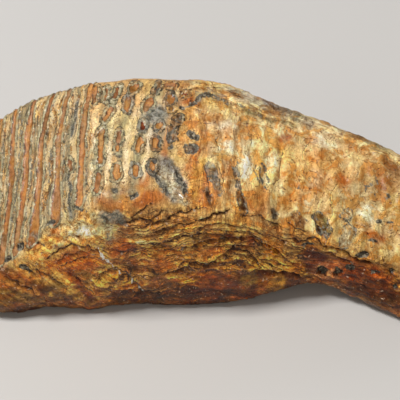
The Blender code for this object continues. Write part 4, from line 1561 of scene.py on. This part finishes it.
@dataclass(frozen=True)
class FossilFinish:
    """Iron-stained fossil: satin, with crisp enamel, grained dentine and weathered cement."""

    roughness: Pair = (0.2, 0.58)
    specular: float = 0.2
    coat: float = 0.06
    coat_roughness: float = 0.14
    bump_depth: float = 0.7
    bump_strength: float = 0.8
    soot: Colour = (0.022, 0.019, 0.014, 1.0)
    dull_soot: Colour = (0.11, 0.105, 0.085, 1.0)
    dust: Colour = (0.34, 0.30, 0.22, 1.0)
    maroon: Colour = (0.050, 0.018, 0.008, 1.0)
    moss: Colour = (0.30, 0.29, 0.18, 1.0)
    # the colour of the painted glints
    painted_glint_colour: Colour = (0.66, 0.47, 0.32, 1.0)
    pale_cement: Colour = (0.60, 0.46, 0.25, 1.0)
    dark_blot: Colour = (0.075, 0.074, 0.055, 1.0)
    pale_blot: Colour = (0.29, 0.28, 0.23, 1.0)
    dull_chalk: Colour = (0.50, 0.42, 0.28, 1.0)
    chalk: Colour = (0.90, 0.88, 0.80, 1.0)
    palest: Tint = (0.85, 0.82, 0.78)  # the most that all but the chalk reflects

    def build(self) -> bpy.types.Material:
        """Builds the material.

        Returns:
            The material, ready for the tooth.
        """
        g = Graph("iron-stained fossil")
        n = Noises.lay(g)
        fibre, speck, outline = g.split("traits")
        # shape holds painted shade for the hollows of the relief, painted highlight for its ridges, and the
        # grit
        painted_hollow_shade, painted_ridge_highlight, grit = g.split("shape")
        colour = self.ground(g, n, fibre, grit)
        colour = self.cement(g, n, colour, speck)
        colour = self.worn(g, n, colour, outline)
        # painted shade darkens the hollows; painted highlight lightens the ridges
        colour = g.tint(
            colour,
            (painted_hollow_shade, (0.34, 0.23, 0.15)),
            (g.times(painted_ridge_highlight, g.step(n.crumb, 0.35, 0.6, 0.2, 0.9)), (1.5, 1.42, 1.22)),
        )
        colour = self.seams(g, n, colour)
        # painted glints: pale specks where the glint attribute allows
        painted_glint_specks = g.times(g.step(n.speckle, 0.54, 0.60), g.step(n.crumb, 0.57, 0.64))
        colour = g.mix(g.times(g.attribute("glint"), painted_glint_specks), colour, self.painted_glint_colour)
        colour = g.limit(colour, self.palest)
        dark, pale, grey = g.split("marks")
        dark = g.step(g.math("ADD", dark, g.uneven((n.crumb, 3.4), (n.speckle, 3.4))), -0.2, 0.6)
        colour = self.marks(g, n, colour, (dark, pale, grey))
        g.feed(colour, g.shader.inputs["Base Color"])
        gloss = g.math("ADD", g.times(n.crumb, 0.6), g.times(n.hair, 0.4))
        gloss = g.math("ADD", g.step(gloss, 0.38, 0.62, *self.roughness), g.times(dark, 0.3))
        g.feed(gloss, g.shader.inputs["Roughness"])
        g.shader.inputs["Specular IOR Level"].default_value = self.specular
        g.shader.inputs["Coat Weight"].default_value = self.coat
        g.shader.inputs["Coat Roughness"].default_value = self.coat_roughness
        self.bump(g, n, fibre, grit)
        return g.material

    def ground(self, g: Graph, n: Noises, fibre: Socket, grit: Socket) -> Socket:
        """Breaks the painted colour up into patches, fibres, crumbs and cracks.

        Args:
            g: The material's graph.
            n: Its noises.
            fibre: How fibrous the surface is.
            grit: How gritty it is.

        Returns:
            The broken colour.
        """
        mottle = g.times(g.attribute("mottle"), 0.85)
        flaky = g.step(n.speckle, 0.40, 0.52, 0.0, 0.8)
        dusty = g.math("MULTIPLY_ADD", grit, 0.6, 0.1)
        thready = g.times(fibre, 0.9)
        broken = g.step(n.crumb, 0.40, 0.55, 0.0, 0.95)
        torn = g.times(broken, fibre)
        return g.tint(
            g.attribute("ground_colour", "Color"),
            (g.step(n.tinge, 0.52, 0.62), (0.96, 1.0, 0.90)),
            (g.step(n.tinge, 0.46, 0.36), (1.05, 0.93, 0.86)),
            (g.times(mottle, g.step(n.cloud, 0.52, 0.55)), (0.93, 0.68, 0.42)),
            (g.times(mottle, g.step(n.cloud, 0.47, 0.43)), (1.20, 1.30, 1.45)),
            (g.times(g.line(n.cloud, 0.52, 0.012), flaky), (0.40, 0.25, 0.16)),
            (g.times(dusty, g.step(n.fine, 0.48, 0.41)), (0.68, 0.60, 0.50)),
            (g.times(dusty, g.step(n.fine, 0.53, 0.60)), (1.30, 1.30, 1.28)),
            (g.times(thready, g.step(n.hair, 0.49, 0.40)), (0.44, 0.30, 0.20)),
            (g.times(thready, g.step(n.hair, 0.54, 0.61)), (1.50, 1.40, 1.34)),
            (g.times(thready, g.step(n.strand, 0.48, 0.40)), (0.54, 0.40, 0.27)),
            (g.times(thready, g.step(n.strand, 0.54, 0.60)), (1.30, 1.20, 0.96)),
            (g.times(grit, g.step(n.crumb, 0.48, 0.40)), (0.48, 0.35, 0.23)),
            (g.times(grit, g.step(n.crumb, 0.54, 0.61)), (1.45, 1.42, 1.34)),
            (g.times(g.line(n.swirl, 0.5, 0.022), broken), (0.20, 0.12, 0.07)),
            # a pale line beside each dark crack along the grain: painted highlight
            (g.times(g.line(n.run, 0.54, 0.022), torn), (1.9, 1.85, 1.6)),
            (g.times(g.line(n.run, 0.5, 0.028), torn), (0.18, 0.10, 0.06)),
        )

    def cement(self, g: Graph, n: Noises, colour: Socket, speck: Socket) -> Socket:
        """Streaks the cement between the worn plates with cream, moss, dark dashes, and pale flecks that are
        painted glints.

        Args:
            g: The material's graph.
            n: Its noises.
            colour: The colour under them.
            speck: How speckled the surface is.

        Returns:
            The streaked colour.
        """
        for share, tone in (
            (g.step(n.strand, 0.52, 0.58, 0.0, 0.7), self.pale_cement),
            (g.step(n.strand, 0.49, 0.43, 0.0, 0.5), self.moss),
            (g.step(n.hair, 0.57, 0.63, 0.0, 0.6), Tone.SHELL.rgba),
            (g.step(n.dash, 0.38, 0.32, 0.0, 0.7), self.soot),
            (g.step(n.speckle, 0.38, 0.33, 0.0, 0.75), self.soot),
            # pale flecks: painted glints
            (g.step(n.speckle, 0.66, 0.71, 0.0, 0.6), Tone.CHALK.rgba),
        ):
            colour = g.mix(g.times(speck, share), colour, tone)
        return colour

    def worn(self, g: Graph, n: Noises, ground: Socket, outline: Socket) -> Socket:
        """Lays the enamel and dentine of the plates and rings over the ground.

        Args:
            g: The material's graph.
            n: Its noises.
            ground: The colour where there is neither.
            outline: How strong the dark outline of the enamel is.

        Returns:
            The colour.
        """
        core_out = g.math("ADD", g.attribute("core_out"), g.uneven((n.hair, 1.6), (n.speckle, 1.6)))
        rim_out = g.math("ADD", g.attribute("rim_out"), g.uneven((n.crumb, 2.4), (n.hair, 1.6)))
        enamel = g.times(g.step(core_out, -0.2, 0.2), g.step(rim_out, 0.25, -0.25, 0.0, 0.92))

        mottled = g.step(outline, 0.62, 0.7, 0.35, 0.8)
        shelly = g.times(g.step(n.hair, 0.46, 0.60), g.step(outline, 0.62, 0.7, 0.9, 0.45))
        rim = g.mix(shelly, g.attribute("rim_colour", "Color"), Tone.SHELL.rgba)
        rim = g.mix(g.step(n.cloud, 0.50, 0.58, 0.0, 0.5), rim, Tone.TAN.rgba)
        rim = g.tint(
            rim,
            (g.step(n.dash, 0.48, 0.38, 0.0, 0.75), (0.45, 0.40, 0.30)),
            (g.times(mottled, g.step(n.crumb, 0.48, 0.41)), (0.50, 0.42, 0.30)),
            (g.times(mottled, g.step(n.crumb, 0.54, 0.61)), (1.35, 1.33, 1.25)),
        )
        rim = g.mix(g.times(mottled, g.step(n.speckle, 0.43, 0.38)), rim, self.soot)
        # pale flecks on the enamel: painted glints
        rim = g.mix(g.step(n.speckle, 0.64, 0.69, 0.0, 0.6), rim, Tone.CHALK.rgba)
        colour = g.mix(enamel, ground, rim)

        core = g.attribute("core_colour", "Color")
        core = g.mix(g.step(n.cloud, 0.50, 0.58, 0.0, 0.5), core, Tone.GOLD.rgba)
        core = g.tint(
            core,
            (g.step(n.tinge, 0.48, 0.40), (0.80, 0.90, 0.96)),
            (g.step(n.cloud, 0.48, 0.43, 0.0, 0.8), (0.72, 0.74, 0.72)),
            (g.step(n.run, 0.49, 0.42, 0.0, 0.8), (0.80, 0.68, 0.54)),
            (g.step(n.strand, 0.49, 0.42, 0.0, 0.8), (0.74, 0.70, 0.60)),
            (g.step(n.crumb, 0.49, 0.41, 0.0, 0.6), (0.60, 0.50, 0.40)),
            (g.step(n.hair, 0.53, 0.61, 0.0, 0.8), (1.32, 1.28, 1.24)),
            (g.step(core_out, -0.8, -0.1, 0.0, 0.6), (0.66, 0.46, 0.36)),
        )
        colour = g.mix(g.step(core_out, 0.15, -0.15), colour, core)

        edge = g.times(g.line(rim_out, 0.0, 0.55), g.step(n.speckle, 0.58, 0.46, 0.1, 1.0))
        colour = g.mix(g.times(edge, outline), colour, self.soot)
        seam = g.times(g.line(core_out, 0.05, 0.42), g.step(n.dash, 0.56, 0.46, 0.1, 0.8))
        return g.mix(seam, colour, self.maroon)

    def seams(self, g: Graph, n: Noises, colour: Socket) -> Socket:
        """Draws the cracks and the edges of the layers as thin dark lines, their own dark together with
        painted shade, each with a lit lip that is a painted highlight.

        Args:
            g: The material's graph.
            n: Its noises.
            colour: The colour under them.

        Returns:
            The colour with the lines.
        """
        crack_at, crack_out, bedded = g.split("seams")
        wobble = g.uneven((n.strand, 3.0), (n.speckle, 1.6))
        lines = [(g.math("ADD", crack_at, wobble), g.step(crack_out, 1.8, 1.2), 0.45)]
        gates = ((n.swirl, 0.42, 0.50), (n.cloud, 0.47, 0.53), (n.cloud, 0.53, 0.47))
        for turn, bedding, (source, low, high) in zip(g.split("beds"), NearWall.beddings, gates):
            part = g.math("SUBTRACT", g.math("FRACT", g.math("ADD", turn, 0.5)), 0.5)
            at = g.math("ADD", g.times(part, bedding.pitch), wobble)
            lines.append((at, g.times(bedded, g.step(source, low, high)), 0.42))
        for at, share, half in lines:
            # painted highlight on the lip, then the dark line: the crack's own dark and painted shade
            lit = g.times(share, g.line(at, 1.6 * half, 1.2 * half))
            colour = g.tint(colour, (g.times(lit, 0.8), (1.75, 1.7, 1.5)))
            colour = g.mix(g.times(share, g.line(at, 0.0, half)), colour, self.maroon)
        return colour

    def marks(self, g: Graph, n: Noises, colour: Socket, kinds: tuple[Socket, Socket, Socket]) -> Socket:
        """Lays the grey, pale and dark marks, with ragged edges and holes.

        Args:
            g: The material's graph.
            n: Its noises.
            colour: The colour under them.
            kinds: The share of dark, and how far inside the pale and grey marks the surface is.

        Returns:
            The colour with the marks.
        """
        dark, pale, grey = kinds
        ragged = g.uneven((n.cloud, 4.0), (n.crumb, 7.0), (n.speckle, 4.0))
        frayed = g.uneven((n.crumb, 2.2), (n.speckle, 2.4))
        blot = g.mix(g.step(n.crumb, 0.42, 0.58), self.dark_blot, self.pale_blot)
        sparse = g.times(g.step(n.crumb, 0.60, 0.46, 0.4, 0.92), g.step(n.speckle, 0.62, 0.5, 0.5, 1.0))
        grey = g.times(g.step(g.math("ADD", grey, ragged), -1.0, 1.4), sparse)
        colour = g.mix(grey, colour, blot)
        chalk = g.mix(g.step(n.speckle, 0.38, 0.48), self.dull_chalk, self.chalk)
        colour = g.mix(g.step(g.math("ADD", pale, frayed), 0.0, 0.3), colour, chalk)
        soot = g.mix(g.step(n.crumb, 0.46, 0.58), self.soot, self.dull_soot)
        soot = g.mix(g.step(n.speckle, 0.54, 0.62, 0.0, 0.8), soot, self.dust)
        return g.mix(g.times(dark, 0.93), colour, soot)

    def bump(self, g: Graph, n: Noises, fibre: Socket, grit: Socket) -> None:
        """Roughens the surface at a scale finer than the mesh.

        Args:
            g: The material's graph.
            n: Its noises.
            fibre: How fibrous the surface is.
            grit: How gritty it is.
        """
        height = g.times(n.hair, g.math("MULTIPLY_ADD", fibre, 0.8, 0.3))
        for part in (g.times(n.crumb, grit), g.times(n.speckle, 0.5), g.times(n.fine, 0.3)):
            height = g.math("ADD", height, part)
        node = g.tree.nodes.new("ShaderNodeBump")
        node.inputs["Strength"].default_value = self.bump_strength
        node.inputs["Distance"].default_value = self.bump_depth * MM
        g.feed(height, node.inputs["Height"])
        g.feed(node.outputs["Normal"], g.shader.inputs["Normal"])


# ---- The tooth ---------------------------------------------------------------------------------------


@dataclass
class Tooth:
    """The whole tooth: its form, what is worked into it, and its finish."""

    form: Form = Form()
    net: Net = Net()
    finish: FossilFinish = FossilFinish()
    middle: Pair = (-14.5, -36.7)  # x and y of the frame's origin, counted as the rails are
    plate_grain: float = 9.0  # how much longer than wide the grain is on the crown
    wall_grain: float = 7.0  # and on the near wall
    end_room: float = 0.6  # share of the room at the ends that relief may use, which keeps the noses rounder

    def build(self) -> bpy.types.Object:
        """Builds the tooth in place of its solid.

        Returns:
            The tooth.
        """
        skin = Skin(self.form, self.net)
        LOG.info("surface: %d vertices", len(skin.x))
        wall = NearWall()
        for part in (Ground(), WornFace(), wall, RearCoat(), FarWall(), StainsAndPaintedHighlights(), Windows(), Lumps()):
            part.work(skin)
            LOG.info("%s worked in", type(part).__name__)
        piece = self.cast(skin, self.lay_grain(skin, wall))
        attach(piece, "root")
        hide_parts(NODE)
        return piece

    def lay_grain(self, skin: Skin, wall: NearWall) -> np.ndarray:
        """Finds where the grain is read: along the plates on the crown, along the layers on the near wall.

        Args:
            skin: The surface.
            wall: The near wall, which knows its layers.

        Returns:
            A place in the grain for each vertex, in millimetres.
        """
        over = skin.rail * 22.0 + 2.0 * grain(skin.points, 12.0, 71)
        bent = skin.plate_x + 1.6 * grain(skin.points, 11.0, 72, 2)
        plates = np.column_stack((bent, over / self.plate_grain, skin.z * 0))
        layers = np.column_stack((wall.layer(skin) + 200, skin.x / self.wall_grain, skin.z * 0))
        flakes = np.column_stack((skin.place * 45 + 400, skin.x / self.wall_grain, skin.z * 0))
        share = (skin.near_wall * blend(-skin.place, 0.0, 0.1))[:, None]
        return np.where(share > 0.5, layers, np.where(skin.flaked[:, None] > 0.5, flakes, plates))

    def room(
        self, plain: np.ndarray, normals: np.ndarray, low: np.ndarray, high: np.ndarray
    ) -> np.ndarray:
        """Finds how far each place may move out before it meets the sides or the top of the solid's box.

        Args:
            plain: The places.
            normals: Which way each moves.
            low: The box's lowest corner.
            high: The box's highest corner.

        Returns:
            Millimetres, a little above 0 at least.
        """
        gap = np.where(normals > 0, high - plain, plain - low)
        gap[:, 0] *= self.end_room
        gap[:, 2] = np.where(normals[:, 2] > 0, gap[:, 2], OPEN)
        return np.maximum(gap / np.maximum(np.abs(normals), 0.02), 0.02).min(axis=1)

    def cast(self, skin: Skin, streak: np.ndarray) -> bpy.types.Object:
        """Turns the surface into an object.

        Args:
            skin: The surface, with everything worked in.
            streak: Where each vertex is in the finish's grain.

        Returns:
            The object, with its material and attributes.
        """
        hollow = skin.blurred(skin.height, 10) - skin.height
        plain = skin.points - np.array((*self.middle, 0.0))
        low, high = (np.array(corner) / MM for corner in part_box(NODE))
        room = self.room(plain, skin.normals, low, high)
        height = np.where(skin.height > 0, skin.height / (1 + (skin.height / room) ** 4) ** 0.25, skin.height)
        skin.points = np.clip(plain + skin.normals * height[:, None], low, high) * MM
        skin.place_vertices()
        data = bpy.data.meshes.new("tooth_surface")
        skin.mesh.to_mesh(data)
        skin.mesh.free()
        for polygon in data.polygons:
            polygon.use_smooth = True
        fields = {
            "core_out": skin.core_out,
            "rim_out": skin.rim_out,
            # painted shade in the hollows of the relief, painted highlight on its ridges, and grit
            "shape": np.column_stack(
                (blend(hollow, 0.12, 1.1), blend(-hollow, 0.1, 0.8), np.clip(skin.grit, 0, 1))
            ),
            "traits": np.column_stack((np.clip(skin.fibre, 0, 1), np.clip(skin.speck, 0, 1), skin.outline)),
            "marks": skin.marks.T,
            "seams": np.column_stack((skin.crack_at, skin.crack_out, skin.bedded)),
            "beds": skin.beds,
            "mottle": skin.mottle,
            "glint": skin.glint,
            "streak_at": streak,
        }
        for name, colour in (("ground", skin.colour), ("core", skin.core), ("rim", skin.rim)):
            fields[f"{name}_colour"] = np.column_stack((colour, np.ones(len(colour))))
        for name, values in fields.items():
            self.record(data, name, values)
        piece = bpy.data.objects.new("tooth_surface", data)
        piece.data.materials.append(self.finish.build())
        bpy.context.scene.collection.objects.link(piece)
        return piece

    @staticmethod
    def record(data: bpy.types.Mesh, name: str, values: np.ndarray) -> None:
        """Writes an attribute on the mesh's vertices: numbers, vectors or colours.

        Args:
            data: The mesh.
            name: The attribute's name.
            values: A row for each vertex, of one, three or four numbers.
        """
        kinds = {1: ("FLOAT", "value"), 3: ("FLOAT_VECTOR", "vector"), 4: ("FLOAT_COLOR", "color")}
        kind, part = kinds[values.size // len(values)]
        attribute = data.attributes.new(name, kind, "POINT")
        attribute.data.foreach_set(part, np.ascontiguousarray(values, np.float32).ravel())


# ---- The studio --------------------------------------------------------------------------------------


@dataclass(frozen=True)
class Lamp:
    """A soft square lamp: where it stands and what it shines at, in metres, and its power in watts."""

    name: str
    place: tuple[float, float, float]
    size: float
    power: float
    colour: Tint = (1.0, 1.0, 1.0)

    def hang(self, target: Vector) -> None:
        """Hangs the lamp.

        Args:
            target: What it shines at.
        """
        data = bpy.data.lights.new(self.name, "AREA")
        data.shape = "SQUARE"
        data.size = self.size
        data.energy = self.power
        data.color = self.colour
        lamp = bpy.data.objects.new(self.name, data)
        lamp.location = self.place
        lamp.rotation_euler = (target - Vector(self.place)).to_track_quat("-Z", "Y").to_euler()
        bpy.context.scene.collection.objects.link(lamp)


@dataclass
class Studio:
    """A plain pale floor, soft lamps, and the camera above the near wall."""

    floor_half: float = 3.0
    floor_colour: Tint = (0.58, 0.57, 0.56)
    floor_roughness: float = 0.9
    world_colour: Tint = (1.0, 0.98, 0.95)
    world_strength: float = 0.22
    lamps: tuple[Lamp, ...] = (
        Lamp("key lamp", (-0.45, -0.10, 1.25), 0.3, 16.0, (1.0, 0.98, 0.95)),
        Lamp("fill lamp", (0.3, -1.4, 0.7), 0.8, 3.1, (1.0, 0.86, 0.68)),
        Lamp("back lamp", (0.3, 1.2, 0.9), 0.8, 3.2),
    )
    lamp_target: tuple[float, float, float] = (0.0, 0.0, 0.05)
    view_width: float = 0.232
    view_distance: float = 3.0
    sensor: float = 36.0
    aim: tuple[float, float, float] = (0.0145, -0.0253, 0.0794)

    def build(self) -> None:
        """Builds the studio."""
        self.lay_floor()
        self.light()
        self.place_camera()
        bpy.context.scene.view_settings.view_transform = "Standard"

    def lay_floor(self) -> None:
        """Lays the floor."""
        mesh = bmesh.new()
        bmesh.ops.create_grid(mesh, x_segments=1, y_segments=1, size=self.floor_half)
        data = bpy.data.meshes.new("floor")
        mesh.to_mesh(data)
        mesh.free()
        floor = bpy.data.objects.new("floor", data)
        paint = Graph("pale floor")
        paint.shader.inputs["Base Color"].default_value = (*self.floor_colour, 1.0)
        paint.shader.inputs["Roughness"].default_value = self.floor_roughness
        data.materials.append(paint.material)
        bpy.context.scene.collection.objects.link(floor)

    def light(self) -> None:
        """Hangs the lamps and sets the light all round."""
        for lamp in self.lamps:
            lamp.hang(Vector(self.lamp_target))
        world = bpy.data.worlds.new("studio")
        world.use_nodes = True
        background = world.node_tree.nodes["Background"]
        background.inputs["Color"].default_value = (*self.world_colour, 1.0)
        background.inputs["Strength"].default_value = self.world_strength
        bpy.context.scene.world = world

    def place_camera(self) -> None:
        """Places the camera, square to the show plane."""
        data = bpy.data.cameras.new("camera")
        data.sensor_width = self.sensor
        data.lens = self.sensor * self.view_distance / self.view_width
        camera = bpy.data.objects.new("camera", data)
        turn = Euler((math.pi / 2 - SHOW_TILT, 0.0, 0.0))
        camera.rotation_euler = turn
        camera.location = Vector(self.aim) + turn.to_matrix() @ Vector((0.0, 0.0, self.view_distance))
        bpy.context.scene.collection.objects.link(camera)
        bpy.context.scene.camera = camera


def main() -> None:
    """Builds the tooth and the studio round it."""
    logging.basicConfig(level=logging.INFO, format="%(name)s: %(message)s")
    tooth = Tooth().build()
    LOG.info("tooth: %d faces", len(tooth.data.polygons))
    Studio().build()
    LOG.info("studio: floor, lamps and camera")


if __name__ == "__main__":
    main()
